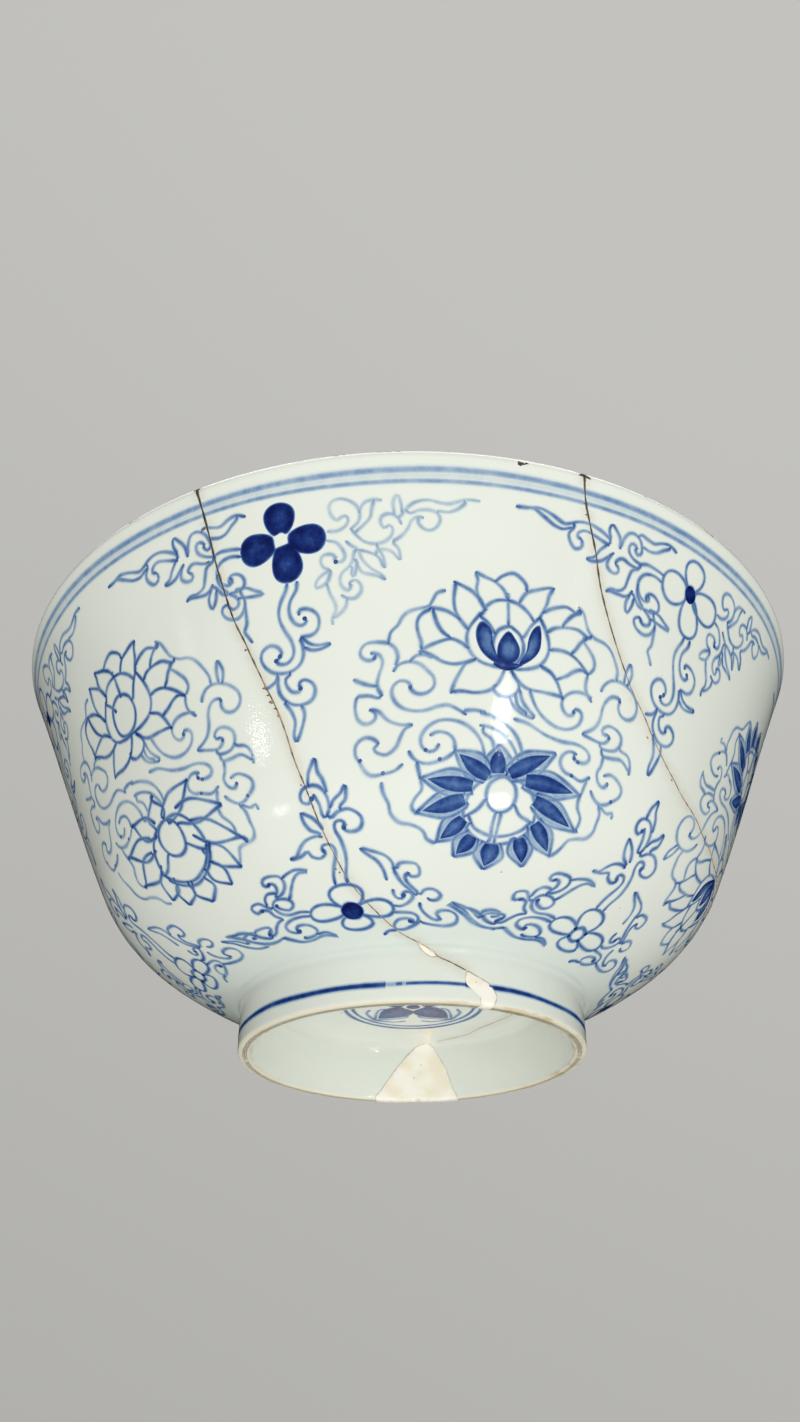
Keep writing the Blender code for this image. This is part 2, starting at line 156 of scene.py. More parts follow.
SCROLLS = [
    [(10.8, 19.3), (11.8, 18.5), (12.3, 17.2), (12.9, 15.9), (14.1, 15.1), (15.8, 14.8), (17.0, 14.1),
     (17.9, 12.8), (18.6, 11.2), (18.5, 9.9)],
    [(12.0, 14.3), (13.2, 13.0), (14.1, 11.8), (14.2, 10.5), (13.4, 9.4)],
    [(13.2, 9.2), (12.9, 8.0), (13.0, 6.7), (13.6, 5.8), (14.2, 5.2)],
    [(13.9, 5.9), (12.8, 6.2), (11.2, 6.1), (9.8, 5.4), (9.0, 4.2), (9.3, 3.0), (10.2, 2.3), (11.1, 2.7)],
    [(11.2, 3.5), (12.2, 3.4), (12.6, 2.5), (12.0, 1.2), (10.6, 0.3), (8.8, 0.1), (7.0, 0.7), (5.5, 1.8),
     (4.4, 3.3), (3.7, 4.9)],
    [(0.6, 3.4), (1.5, 2.0), (3.0, 1.2), (4.6, 0.8)],
    [(2.0, 4.9), (2.6, 3.2), (3.6, 2.0), (4.6, 1.2)],
    [(1.4, 4.2), (1.9, 2.4), (3.3, 1.5)],
    [(-10.3, 18.9), (-11.6, 18.4), (-12.2, 17.2), (-12.8, 16.3), (-15.2, 15.7), (-16.4, 14.8),
     (-17.0, 13.5), (-18.0, 12.4), (-18.2, 11.0)],
    [(-18.2, 10.8), (-20.0, 11.0), (-21.6, 10.8), (-22.3, 9.8), (-22.0, 8.8), (-21.0, 8.3), (-20.1, 8.5)],
    [(-20.8, 9.4), (-19.5, 9.1), (-18.8, 7.9), (-19.2, 6.0), (-19.3, 4.4), (-18.4, 2.8)],
    [(-18.2, 10.8), (-17.1, 9.9), (-16.6, 8.6), (-16.8, 7.4)],
    [(-14.8, 7.9), (-13.9, 8.8), (-12.6, 9.0), (-11.6, 8.6)],
    [(-17.1, 6.4), (-16.5, 7.4), (-15.0, 7.9), (-13.4, 7.6), (-12.2, 6.7), (-11.1, 5.6), (-10.9, 4.3),
     (-11.8, 3.3), (-13.3, 3.1), (-14.4, 3.9)],
    [(-14.3, 4.2), (-14.9, 4.9), (-16.1, 5.0), (-17.0, 4.1), (-16.9, 2.7), (-15.8, 1.3), (-14.0, 0.6),
     (-12.0, 0.6), (-10.0, 1.3), (-8.5, 1.5), (-7.0, 0.9), (-5.7, 0.2)],
    [(-6.0, 0.8), (-4.5, 1.0), (-3.0, 0.8)],
    [(15.7, 7.2), (16.3, 8.4), (17.5, 9.4), (19.0, 9.7), (20.4, 9.5), (21.8, 8.7), (22.8, 7.4),
     (22.9, 6.0), (22.2, 4.8), (21.0, 4.3), (19.8, 4.6), (19.2, 5.6), (19.4, 6.6)],
    [(19.6, 7.0), (18.2, 7.1), (17.1, 6.4), (16.3, 5.0), (16.0, 3.4), (15.4, 2.0), (14.4, 1.0), (12.9, 0.1)],
    [(20.0, 9.6), (20.3, 11.5), (21.1, 13.1)],
    [(21.1, 13.1), (21.5, 11.5), (20.9, 9.9)],
    [(12.8, 0.1), (14.6, -0.3), (16.6, -0.5), (17.8, 0.4)],
    [(17.6, 1.1), (16.8, 0.9), (16.5, 1.6), (17.6, 2.4), (19.2, 2.2), (20.2, 1.3), (20.0, -0.1),
     (18.8, -1.1), (16.6, -1.3)],
    [(-23.0, 5.6), (-21.5, 4.9), (-20.2, 4.5)],
    [(-22.0, 3.0), (-20.4, 3.0), (-19.0, 2.6)],
    [(-22.2, 2.8), (-22.3, 1.2), (-21.6, -0.6), (-20.3, -1.2), (-19.2, -0.6), (-19.2, 0.4), (-20.0, 0.9)],
    [(-20.2, 0.9), (-18.8, 0.6), (-17.2, -0.8), (-15.2, -1.5), (-13.5, -1.5)],
    [(-13.5, -1.5), (-14.6, -2.1), (-15.2, -3.4), (-15.7, -4.8), (-16.9, -5.8), (-18.2, -5.6),
     (-18.9, -4.9), (-18.4, -4.3)],
    [(-18.2, -4.2), (-19.2, -3.4), (-20.5, -3.2), (-21.6, -4.1), (-21.6, -5.6), (-20.8, -6.8),
     (-20.0, -8.0), (-18.8, -8.8), (-17.0, -8.6), (-15.5, -8.2), (-14.4, -7.2)],
    [(-2.5, -5.8), (-3.0, -4.0), (-4.0, -2.5), (-5.6, -1.3), (-7.6, -0.7), (-9.6, -0.8), (-11.2, -1.7),
     (-12.1, -3.1), (-12.0, -4.5), (-11.0, -5.4), (-9.9, -5.2), (-9.4, -4.2)],
    [(-10.9, -3.1), (-9.8, -2.5), (-8.3, -2.7), (-7.3, -3.6), (-6.9, -5.2)],
    [(-7.0, -5.3), (-8.0, -6.2), (-9.0, -6.7), (-10.6, -7.2), (-12.1, -7.0), (-13.1, -6.3), (-13.8, -5.3)],
    [(-3.7, -1.2), (-1.8, -1.4), (0.5, -2.5), (2.0, -4.3), (2.7, -5.9)],
    [(-3.0, -2.2), (-1.6, -3.2), (-0.9, -5.2)],
    [(3.2, -5.4), (3.0, -3.9), (2.1, -2.2), (0.7, -0.9), (-1.5, 0.2), (-3.6, 0.7)],
    [(1.4, 0.3), (3.5, 0.0), (5.0, -0.6), (7.0, -1.4), (9.5, -1.8), (12.0, -1.7), (13.8, -2.2),
     (14.5, -3.2), (13.9, -4.1), (12.6, -4.3), (11.8, -3.9)],
    [(12.3, -3.2), (11.0, -3.0), (9.8, -3.8), (9.5, -5.1), (10.3, -6.2), (11.6, -6.5), (13.0, -7.0),
     (14.0, -6.7), (14.9, -6.0)],
    [(14.3, -6.7), (13.9, -8.0), (13.6, -9.0)],
    [(13.3, -9.6), (13.3, -11.0), (14.1, -12.4), (13.9, -13.8), (13.3, -14.6)],
    [(20.3, -0.7), (21.8, -1.1), (22.4, -2.3), (22.3, -3.9)],
    [(16.6, -1.8), (17.0, -2.4), (18.6, -2.3), (20.6, -2.1), (22.1, -3.2)],
    [(17.0, -2.6), (16.7, -4.0), (16.1, -5.1), (16.4, -6.4), (17.4, -7.0), (18.3, -6.3)],
    [(17.3, -5.3), (18.6, -4.8), (20.0, -5.2), (21.1, -6.3), (20.8, -7.6), (19.4, -8.7), (18.3, -9.4),
     (17.0, -9.6), (15.8, -8.8), (15.2, -7.9)],
    [(17.0, -9.7), (17.5, -11.0), (17.2, -12.6), (16.9, -14.0), (15.8, -15.2), (14.0, -15.7),
     (12.8, -16.2), (12.0, -17.4), (11.2, -18.5), (10.2, -19.3)],
    [(17.5, -10.0), (18.7, -10.6), (19.9, -10.3), (19.9, -11.2)],
    [(-12.4, -6.9), (-12.1, -8.0), (-11.7, -9.1)],
    [(-11.5, -9.6), (-11.2, -11.0), (-12.0, -12.3), (-12.3, -13.6), (-11.5, -14.5)],
    [(-17.3, -9.8), (-16.8, -11.4), (-15.8, -13.0), (-15.2, -14.6), (-13.8, -15.9), (-12.0, -16.3),
     (-10.6, -16.9), (-9.8, -17.6), (-9.2, -18.6), (-7.9, -19.2)],
]
SCROLL_DOTS = [
    (11.1, 3.0), (-14.4, 4.1), (19.4, 6.7), (17.8, 0.6), (-20.8, -6.5), (-17.2, -8.5), (-9.1, -6.5),
    (12.5, -4.3), (11.6, -6.5), (18.2, -6.3), (19.3, -8.7), (-11.3, -5.2), (-20.1, 8.6), (11.8, -3.9),
]
BALL_LINES = [
    [(0.7, -8.2), (-1.8, -8.9), (-3.7, -10.6), (-4.6, -13.2), (-4.2, -15.8), (-2.4, -17.9), (0.6, -18.8),
     (3.8, -18.0), (6.0, -15.8), (6.4, -12.9), (5.4, -10.3), (3.4, -8.8), (0.7, -8.2)],
    [(0.7, -8.4), (-1.1, -9.4), (-1.6, -11.2), (-0.9, -13.0), (0.7, -13.8), (2.3, -13.0), (3.0, -11.2),
     (2.5, -9.4), (0.7, -8.4)],
    [(-1.6, -12.1), (-2.6, -13.6), (-4.2, -14.8)],
    [(3.0, -12.4), (4.0, -13.8), (5.9, -14.6)],
    [(-3.6, -14.9), (-2.4, -16.6), (0.1, -17.5), (2.6, -17.2), (4.8, -16.0), (6.1, -14.4)],
    [(0.3, -13.9), (0.1, -16.0), (0.2, -18.0)],
    [(1.1, -13.9), (1.0, -16.0), (0.9, -18.0)],
]
BALL_PETALS = [
    (-0.2, -8.0, -0.3, -3.7, 1.3), (1.6, -7.9, 8.7, -3.7, 1.2), (4.2, -8.5, 13.4, -9.1, 1.3),
    (6.0, -11.2, 13.5, -14.6, 1.2), (6.6, -14.7, 10.2, -19.3, 1.2), (4.6, -17.4, 6.2, -21.9, 1.2),
    (0.6, -18.8, 0.2, -23.2, 1.5), (-2.6, -17.8, -4.7, -21.4, 1.2), (-4.4, -15.2, -7.7, -19.0, 1.2),
    (-4.7, -12.2, -11.5, -14.5, 1.3), (-3.8, -10.2, -11.6, -9.3, 1.2), (-1.6, -8.6, -7.0, -5.2, 1.2),
]
OPEN_BALL_LINES = [
    [(1.8, -8.0), (-0.2, -9.0), (-0.9, -11.0), (-0.1, -13.2), (1.8, -14.0), (3.8, -13.2), (4.5, -11.0),
     (3.8, -9.0), (1.8, -8.0)],
    [(1.3, -8.1), (-1.0, -9.0), (-3.0, -10.8), (-4.0, -13.0), (-4.2, -15.0)],
    [(1.8, -8.0), (5.0, -8.2), (7.2, -10.0), (8.2, -12.3), (8.0, -14.9)],
    [(-3.8, -15.6), (-2.0, -17.2), (0.8, -18.3), (4.0, -17.5), (6.5, -15.9), (7.8, -14.4)],
    [(-3.8, -16.2), (-2.0, -17.9), (0.8, -19.1), (4.0, -18.2), (6.5, -16.6), (8.0, -15.0)],
    [(-4.2, -15.0), (-2.6, -14.6), (-0.8, -13.0)],
    [(8.0, -14.9), (6.4, -14.6), (4.2, -13.0)],
]

# Sprig below the lip: a four petalled flower and its stem, and in pixels its two leafy branches
HIGH_PETALS = [(-0.2, 15.2, 2.5, 2.4), (-4.4, 11.0, 2.7, 2.5), (4.0, 11.1, 2.8, 2.3), (0.3, 7.7, 2.4, 2.9)]
HIGH_HEART = (-0.3, 11.6, 1.25)
HIGH_STEM = [
    [(0.0, 4.7), (-0.4, 3.5), (-1.3, 2.0), (-1.8, 0.5), (-1.7, -1.0), (-1.1, -2.6), (-0.3, -4.2),
     (0.0, -5.6), (-0.3, -6.8), (-1.3, -7.6), (-2.5, -7.5), (-3.0, -6.9)],
    [(1.6, 4.8), (1.3, 3.4), (0.3, 2.0), (-0.1, 0.8), (0.0, -0.6), (0.6, -1.7), (1.6, -2.2), (2.4, -1.7),
     (2.2, -1.2)],
    [(1.4, -0.6), (1.5, 0.2), (2.8, 0.2), (4.0, -0.6), (4.4, -1.8), (4.0, -3.2), (3.0, -3.9), (1.4, -4.0)],
    [(1.2, -4.3), (1.5, -5.4), (1.4, -6.8), (0.8, -8.0), (-0.4, -8.8), (-2.0, -9.0), (-3.6, -8.6),
     (-4.8, -7.6), (-5.4, -6.2), (-5.0, -5.0), (-3.8, -4.4), (-2.6, -4.8), (-2.0, -5.7), (-2.3, -6.4)],
    [(1.6, -4.2), (2.6, -5.2), (4.0, -5.6), (5.8, -5.5)],
    [(1.6, -5.6), (2.8, -6.2), (4.2, -6.2), (5.8, -5.6)],
    [(-1.0, -9.3), (-1.8, -10.0), (-1.7, -11.0), (-1.0, -12.0), (0.0, -12.2), (0.4, -11.7)],
    [(0.3, -10.9), (1.2, -10.5), (2.4, -11.3), (2.6, -12.6), (1.8, -13.8), (0.2, -14.2), (-1.5, -13.7),
     (-2.8, -12.3), (-3.1, -10.6), (-2.9, -9.2)],
    [(-3.0, -9.1), (-3.4, -10.0), (-4.4, -10.6), (-5.2, -10.8)],
    [(-2.2, -13.6), (-1.4, -15.0), (-1.0, -16.6), (-1.4, -18.4), (-1.2, -19.6)],
    [(0.3, -14.4), (0.6, -15.6), (0.2, -17.0), (-0.4, -18.4), (-1.1, -19.6)],
]
HIGH_LEFT_PIXELS = [
    [(241, 549), (231, 550), (221, 552), (213, 557), (204, 557), (198, 553), (196, 547), (199, 543),
     (204, 544)],
    [(188, 555), (188, 545), (191, 536), (197, 532), (204, 534), (209, 540), (211, 546), (208, 550),
     (204, 548)],
    [(204, 528), (212, 528), (220, 527), (228, 520), (236, 516), (246, 517)],
    [(211, 539), (219, 538), (226, 534), (231, 527), (236, 520)],
    [(174, 538), (180, 542), (185, 548), (188, 557)],
    [(173, 540), (173, 546), (177, 554)],
    [(177, 555), (168, 552), (158, 553), (150, 559), (144, 567), (139, 572), (128, 573), (120, 576),
     (114, 583), (108, 588)],
    [(148, 568), (144, 573), (140, 578), (133, 581), (124, 580), (117, 580), (110, 587)],
    [(178, 561), (168, 561), (158, 562), (153, 568), (153, 573), (157, 573)],
    [(157, 573), (159, 579), (155, 585), (149, 582), (146, 576), (148, 568)],
    [(176, 562), (172, 571), (170, 580), (165, 586)],
    [(184, 564), (180, 572), (176, 579), (170, 584), (165, 586)],
    [(213, 562), (203, 564), (194, 564), (189, 568), (188, 573)],
    [(188, 573), (192, 574), (193, 579), (188, 582), (182, 580), (181, 574), (183, 566)],
    [(213, 562), (207, 568), (205, 578), (204, 587), (198, 594), (191, 597), (187, 602)],
    [(213, 584), (211, 590), (206, 595), (198, 597), (190, 599), (187, 602)],
    [(241, 557), (232, 557), (223, 561), (218, 568), (217, 576), (221, 583), (227, 586), (232, 583),
     (231, 578)],
    [(229, 580), (231, 576), (236, 574), (242, 576), (245, 582), (243, 588), (237, 592), (229, 594)],
    [(217, 576), (219, 584), (224, 590), (229, 594), (223, 594), (216, 588)],
    [(211, 590), (209, 598), (210, 605), (213, 609), (216, 600), (217, 590)],
    [(236, 590), (246, 588), (256, 591), (263, 594), (250, 597), (240, 598)],
    [(229, 594), (235, 596), (239, 601), (238, 607), (233, 610), (229, 607)],
    [(228, 604), (223, 608), (223, 614), (228, 619), (236, 620), (242, 615), (245, 607), (245, 600),
     (241, 594)],
    [(245, 602), (246, 612), (247, 624), (245, 632), (248, 637), (253, 643)],
]
HIGH_RIGHT_PIXELS = [
    [(327, 532), (336, 531), (344, 527), (348, 521), (346, 516), (341, 517), (337, 520), (331, 515),
     (329, 507), (333, 501), (341, 499), (350, 501), (357, 506), (360, 513), (358, 522), (350, 530)],
    [(359, 512), (364, 503), (372, 500), (382, 500)],
    [(374, 500), (372, 508), (370, 517), (364, 525), (356, 532)],
    [(355, 534), (364, 541), (374, 544), (384, 542), (391, 536), (393, 529), (389, 525), (384, 528),
     (380, 521), (383, 515), (391, 514), (398, 518), (402, 525)],
    [(394, 513), (393, 502), (397, 495), (401, 503), (402, 513)],
    [(394, 541), (402, 536), (408, 528), (412, 520), (418, 517), (424, 518)],
    [(418, 517), (419, 524), (426, 530), (435, 529), (440, 521), (438, 514), (431, 510), (420, 510),
     (410, 513)],
    [(402, 515), (408, 507), (416, 502), (428, 500), (440, 503), (449, 504), (458, 502), (466, 500),
     (480, 501)],
    [(438, 511), (449, 512), (458, 509), (465, 503)],
    [(326, 541), (336, 543), (343, 550), (345, 557), (341, 562), (335, 561)],
    [(335, 557), (330, 554), (323, 556), (321, 562), (324, 568), (331, 570)],
    [(330, 575), (327, 583), (320, 587), (316, 588), (317, 581), (322, 575), (329, 571)],
    [(345, 541), (352, 546), (358, 550), (362, 559), (370, 568), (380, 574), (386, 580)],
    [(357, 565), (362, 572), (370, 574), (378, 576), (386, 580)],
    [(358, 550), (368, 552), (378, 557), (384, 568)],
    [(378, 548), (383, 556), (385, 568)],
    [(393, 543), (399, 549), (401, 560)],
    [(378, 550), (390, 551), (400, 560)],
    [(354, 553), (353, 560), (349, 567), (342, 573), (340, 581), (343, 588), (349, 590), (351, 585),
     (349, 583)],
    [(350, 582), (356, 580), (361, 585), (361, 592), (355, 598), (347, 598), (341, 595)],
    [(357, 562), (356, 570), (354, 577), (352, 574), (352, 568)],
    [(327, 585), (330, 594), (335, 603), (336, 611), (333, 618), (333, 625)],
    [(347, 598), (346, 606), (341, 613), (334, 618)],
]
HIGH_DOTS = [(2.2, -1.2), (-3.0, -6.9), (-2.3, -6.3), (0.4, -11.7), (7.9, 6.9)]

# Sprig over the foot: a four petalled flower on its side, its stem and stalks, and in pixels its branches
LOW_PETALS = [(0.1, -4.7, 2.6, 2.0), (-3.9, -7.5, 2.6, 1.6), (4.2, -7.7, 2.5, 1.7), (0.5, -10.2, 2.4, 1.4)]
LOW_HEART = (0.3, -7.8, 1.5)
LOW_STEM = [
    [(-1.0, -2.6), (-0.9, -1.0), (-0.5, 0.5), (0.1, 2.0), (0.4, 3.4), (0.0, 4.3), (-0.6, 4.5), (-1.4, 4.3),
     (-1.5, 3.6)],
    [(0.9, -2.5), (1.0, -1.0), (1.6, 1.0), (1.8, 3.0), (1.6, 5.0), (1.1, 6.6), (1.3, 7.7), (2.2, 8.0),
     (2.8, 7.4), (2.5, 6.8)],
    [(2.4, 6.7), (3.2, 6.1), (4.6, 6.3), (5.4, 7.4), (5.2, 8.6), (3.8, 9.6), (2.2, 9.4), (1.0, 8.6)],
    [(-7.0, 3.0), (-5.8, 3.2), (-5.0, 4.4), (-3.8, 5.5), (-2.0, 6.0), (-1.0, 5.7)],
    [(-6.8, 2.9), (-5.2, 3.1), (-3.9, 3.7), (-3.4, 2.8), (-2.2, 2.3), (-1.2, 3.0)],
    [(-3.6, 10.0), (-3.4, 8.4), (-2.6, 7.0), (-1.4, 6.4)],
    [(-3.4, 9.8), (-2.0, 8.9), (-1.1, 7.8), (-0.7, 6.8)],
    [(0.3, 8.8), (0.9, 10.0), (0.9, 11.6), (0.3, 13.0), (-0.9, 13.7), (-2.4, 13.5), (-3.2, 12.5),
     (-3.0, 11.4), (-2.0, 11.1), (-1.5, 11.9)],
    [(-0.3, 9.0), (-0.5, 10.8), (-1.2, 12.4)],
    [(-1.7, 14.0), (-1.4, 15.6), (-0.7, 16.8), (-0.2, 17.7)],
    [(0.9, 12.6), (0.6, 14.4), (0.0, 15.6), (-0.1, 17.6)],
    [(1.0, 10.0), (1.8, 11.2), (3.0, 12.1), (3.8, 13.3)],
    [(2.6, 10.2), (3.6, 11.2), (3.9, 13.2)],
]
LOW_LEFT_PIXELS = [
    [(310, 912), (300, 912), (290, 915), (280, 913), (273, 907), (275, 901), (283, 899), (291, 901),
     (293, 906), (289, 910), (281, 909), (276, 906)],
    [(283, 919), (275, 916), (269, 911), (262, 911), (258, 914), (253, 911), (252, 907), (258, 904),
     (266, 907), (271, 909)],
    [(267, 906), (265, 900), (267, 895), (273, 893)],
    [(279, 897), (284, 891), (284, 883), (279, 877), (272, 876), (265, 878), (262, 882), (264, 886),
     (269, 886)],
    [(269, 884), (274, 885), (277, 890), (276, 896)],
    [(282, 878), (288, 873), (296, 870), (308, 871), (299, 873), (294, 878), (292, 886), (290, 896)],
    [(311, 916), (300, 917), (291, 920), (286, 926), (289, 931), (296, 933), (302, 932)],
    [(298, 931), (297, 927), (304, 925), (311, 926), (317, 930), (316, 935), (308, 938), (304, 937)],
    [(318, 934), (326, 932), (333, 934), (338, 936), (330, 935), (322, 936), (313, 940), (303, 942),
     (292, 940), (284, 938)],
    [(284, 919), (279, 922), (277, 928), (276, 934), (271, 936), (269, 934)],
    [(270, 936), (272, 931), (268, 928), (260, 929), (255, 932), (257, 936), (264, 938), (272, 938)],
    [(256, 936), (248, 934), (240, 934), (234, 936), (226, 937), (236, 938), (246, 940), (256, 943),
     (268, 944), (277, 942), (284, 938)],
]
LOW_RIGHT_STALKS = [
    [(4.1, 3.3), (5.2, 2.0), (6.2, 1.0), (6.8, -0.6), (6.9, -2.6)],
    [(4.4, 3.2), (6.0, 2.6), (7.6, 1.8), (8.4, 0.6), (8.4, -0.6)],
    [(8.4, -1.0), (9.0, -3.0), (10.0, -4.5), (10.6, -5.5)],
    [(9.7, -2.6), (10.2, -3.8), (11.0, -4.8)],
]
LOW_RIGHT_PIXELS = [
    [(393, 905), (400, 906), (408, 903), (413, 897), (411, 892), (405, 892), (402, 896)],
    [(404, 896), (400, 899), (395, 896), (393, 889)],
    [(392, 912), (402, 912), (412, 913), (418, 917), (417, 922), (411, 922)],
    [(413, 920), (406, 918), (398, 920), (394, 925), (397, 929), (404, 929), (412, 926), (420, 921)],
    [(384, 935), (389, 931), (396, 930)],
    [(396, 868), (400, 863), (408, 862), (416, 864), (420, 870), (418, 876), (410, 876), (408, 872)],
    [(409, 872), (405, 876), (407, 882), (412, 887), (417, 893)],
]
LOW_RIGHT_TIPS = [
    [(11.4, -5.2), (12.2, -4.4), (13.5, -4.3), (14.4, -5.2), (13.8, -6.2), (12.7, -6.4), (12.2, -5.9)],
    [(10.9, -6.8), (10.8, -8.0), (11.5, -9.4), (12.6, -10.2), (13.6, -9.8)],
    [(13.0, -9.0), (13.8, -8.3), (15.2, -8.3), (16.1, -9.2), (15.6, -10.6), (14.0, -11.3), (12.0, -11.2),
     (10.5, -10.8)],
    [(15.8, -6.6), (17.5, -7.2), (18.8, -8.0), (19.4, -9.0)],
    [(16.0, -6.8), (17.5, -8.0), (18.4, -9.6), (20.0, -10.8), (22.0, -11.0)],
    [(20.0, -9.0), (20.4, -8.0), (22.0, -7.4), (23.4, -7.6), (23.0, -8.3), (21.6, -8.8)],
]
LOW_DOTS = [(2.5, 6.8), (-1.5, 11.7), (-14.6, -4.6)]
LOW_DOT_PIXELS = [[(277, 906), (300, 931), (270, 935), (269, 885), (404, 895), (410, 921)]]

# Where each copy of a motif sits: azimuth, and how it is varied. A sprig was traced at one of its azimuths
ROUNDEL_LENGTH = 38.0
ROUNDELS = [
    (-46.0, "pale"), (14.0, "blue"), (75.0, "turned"),
    (134.0, "pale"), (194.0, "blue"), (254.0, "turned"),
]
HIGH_SPRIG_LENGTH = 55.0
HIGH_TRACED_AT = -15.5
HIGH_SPRIGS = [
    (-75.0, "dark"), (-15.5, "blue"), (41.8, "dark"),
    (103.0, "blue"), (163.0, "dark"), (223.0, "blue"),
]
LOW_SPRIG_LENGTH = 15.0
LOW_TRACED_AT = -14.0
LOW_SPRIGS = [
    (-76.0, "white"), (-14.0, "dark"), (44.8, "white"),
    (105.0, "dark"), (165.0, "white"), (225.0, "dark"),
]

# Bands round the bowl: length along the section, half width, ink
RIM_BANDS = [(75.7, 0.60, 0.43), (74.0, 0.44, 0.42), (74.9, 1.2, 0.17)]
FOOT_BANDS = [
    (-6.65, 0.46, 0.84, -180.0, -7.5), (-6.65, 0.30, 0.66, -1.5, 17.0), (-6.65, 0.42, 0.84, 16.0, 180.0),
    (-6.65, 0.42, 0.34, -8.5, 0.5), (-6.65, 0.36, 0.60, -4.4, -2.6),
]
BASE_RINGS = [(11.0, 0.36, 0.72), (12.4, 0.42, 0.78)]
MARK_MIDDLE = (0.3, -2.4)
BASE_LEAVES = 4

# Cracks: (azimuth, length) down the outer wall from the lip
LEFT_CRACK = [
    (-26.0, 78.9), (-25.8, 76.7), (-25.4, 72.0), (-25.0, 66.0), (-24.4, 61.0), (-23.6, 56.0), (-22.5, 52.3),
    (-21.8, 49.7), (-20.3, 44.7), (-19.2, 41.4), (-18.2, 37.4), (-17.4, 33.0), (-16.2, 28.3),
    (-15.0, 22.2), (-13.8, 17.4), (-12.2, 12.5), (-8.8, 7.5), (-3.5, 2.7), (2.1, 0.2), (7.7, -2.2),
    (11.5, -3.1), (16.5, -4.3),
]
RIGHT_CRACK = [
    (21.9, 78.9), (22.1, 76.7), (22.6, 73.9), (23.6, 70.5), (24.8, 66.7), (25.4, 64.2), (26.4, 60.8),
    (28.2, 56.5), (30.4, 52.3), (32.5, 49.0), (34.5, 46.4), (37.0, 44.0), (40.0, 41.0), (43.9, 38.2),
    (46.7, 36.7), (50.0, 35.1), (56.0, 33.5), (60.0, 32.3), (65.0, 31.7), (70.0, 31.0), (77.0, 31.0),
    (90.0, 30.0),
]
BASE_CRACK = [
    (10.0, 24.0), (15.5, 14.0), (18.6, 3.0), (18.7, -5.9), (16.4, -10.4), (12.9, -15.1), (10.2, -19.3),
    (5.0, -23.2),
]

# Dark pits in the chips and along the lip: azimuth, length, radius
LIP_PITS = [
    (-26.0, 78.7, 0.42), (21.9, 78.5, 0.55), (22.5, 78.2, 0.30), (-2.9, 79.3, 0.34), (-1.9, 79.4, 0.36),
    (-0.7, 79.3, 0.30), (-8.1, 79.3, 0.36), (-7.2, 79.4, 0.22), (13.8, 78.0, 0.42), (14.5, 78.2, 0.20),
    (-37.0, 79.0, 0.34), (-36.0, 79.1, 0.24), (42.0, 79.0, 0.44), (43.0, 78.7, 0.30), (-12.5, 79.3, 0.20),
    (5.2, 79.4, 0.20), (31.0, 79.0, 0.22), (-50.0, 79.2, 0.26),
]

# Brown pits where the glaze has flaked off along the cracks
CRACK_PITS = [
    (-20.5, 44.4, 0.26), (-20.1, 43.2, 0.18), (-19.7, 42.1, 0.34), (-19.3, 41.0, 0.18), (-18.9, 39.8, 0.26),
    (-22.5, 50.9, 0.20), (-26.1, 66.4, 0.24), (-25.9, 71.9, 0.26), (-14.4, 15.2, 0.24), (-13.8, 14.5, 0.20),
    (-16.9, 29.0, 0.16), (22.6, 73.9, 0.26), (22.9, 72.2, 0.20), (38.5, 41.0, 0.22), (46.0, 36.6, 0.20),
]

# Chips in the lip: azimuth, radius of the scoop, height of its centre over the lip's top, all as in the CAD
CHIPS = [
    (-26.0, 1.1, 0.3), (21.9, 1.2, 0.3), (-1.7, 3.0, 2.5), (-8.1, 0.7, 0.3), (13.8, 0.8, 0.2),
    (-37.0, 1.2, 0.6), (42.0, 0.9, 0.4),
]
CHIP_EDGE = 0.00012

# Filler, each an outline of (azimuth, length) round its middle
FLAKE = [(2.15, 0.4), (3.9, -0.6), (6.3, -1.4), (7.7, -2.25), (5.6, -2.3), (2.7, -1.0)]
NEAR_FILL = [
    (16.7, -4.5), (19.5, -5.0), (22.0, -5.6), (23.9, -6.1), (25.1, -6.8), (26.0, -8.0), (25.2, -9.5),
    (24.8, -12.5), (22.8, -15.0), (20.8, -14.0), (20.6, -11.5), (20.7, -8.7), (19.9, -7.65), (18.4, -6.6),
    (16.2, -6.4),
]
FAR_FILL = [
    (172.5, -22.2), (175.8, -22.2), (181.5, -20.0), (187.0, -17.0), (193.0, -13.0), (195.0, -11.6),
    (193.0, -9.2), (184.0, -5.0), (178.0, -2.4), (174.0, -2.6), (170.0, -5.4), (163.0, -9.2),
    (162.0, -11.6), (163.5, -13.0), (166.0, -17.0), (169.5, -20.0),
]
BASE_FILL = [(1.3, -15.8), (4.5, -15.8), (3.6, -20.5), (3.5, -24.9), (2.3, -24.9), (2.3, -20.5)]


class BowlSizes(bpy.types.PropertyGroup):
    rows: bpy.props.FloatProperty(
        name="Row spacing", description="Distance between rings of the body", default=0.0013, unit="LENGTH"
    )
    front_step: bpy.props.FloatProperty(
        name="Front step", description="Turn between columns of the body at the front",
        default=math.radians(0.36), unit="ROTATION",
    )
    brush_step: bpy.props.FloatProperty(
        name="Brush step", description="Distance between cross lines of a brush stroke", default=0.0005,
        unit="LENGTH",
    )
    paint_height: bpy.props.FloatProperty(
        name="Paint height", description="Rise of the darkest paint over the glaze", default=0.00003,
        unit="LENGTH",
    )
    crack_width: bpy.props.FloatProperty(
        name="Crack width", description="Width of a crack's dark line", default=0.00028, unit="LENGTH"
    )
    filler_height: bpy.props.FloatProperty(
        name="Filler height", description="Rise of the filler over the glaze", default=0.00007, unit="LENGTH"
    )


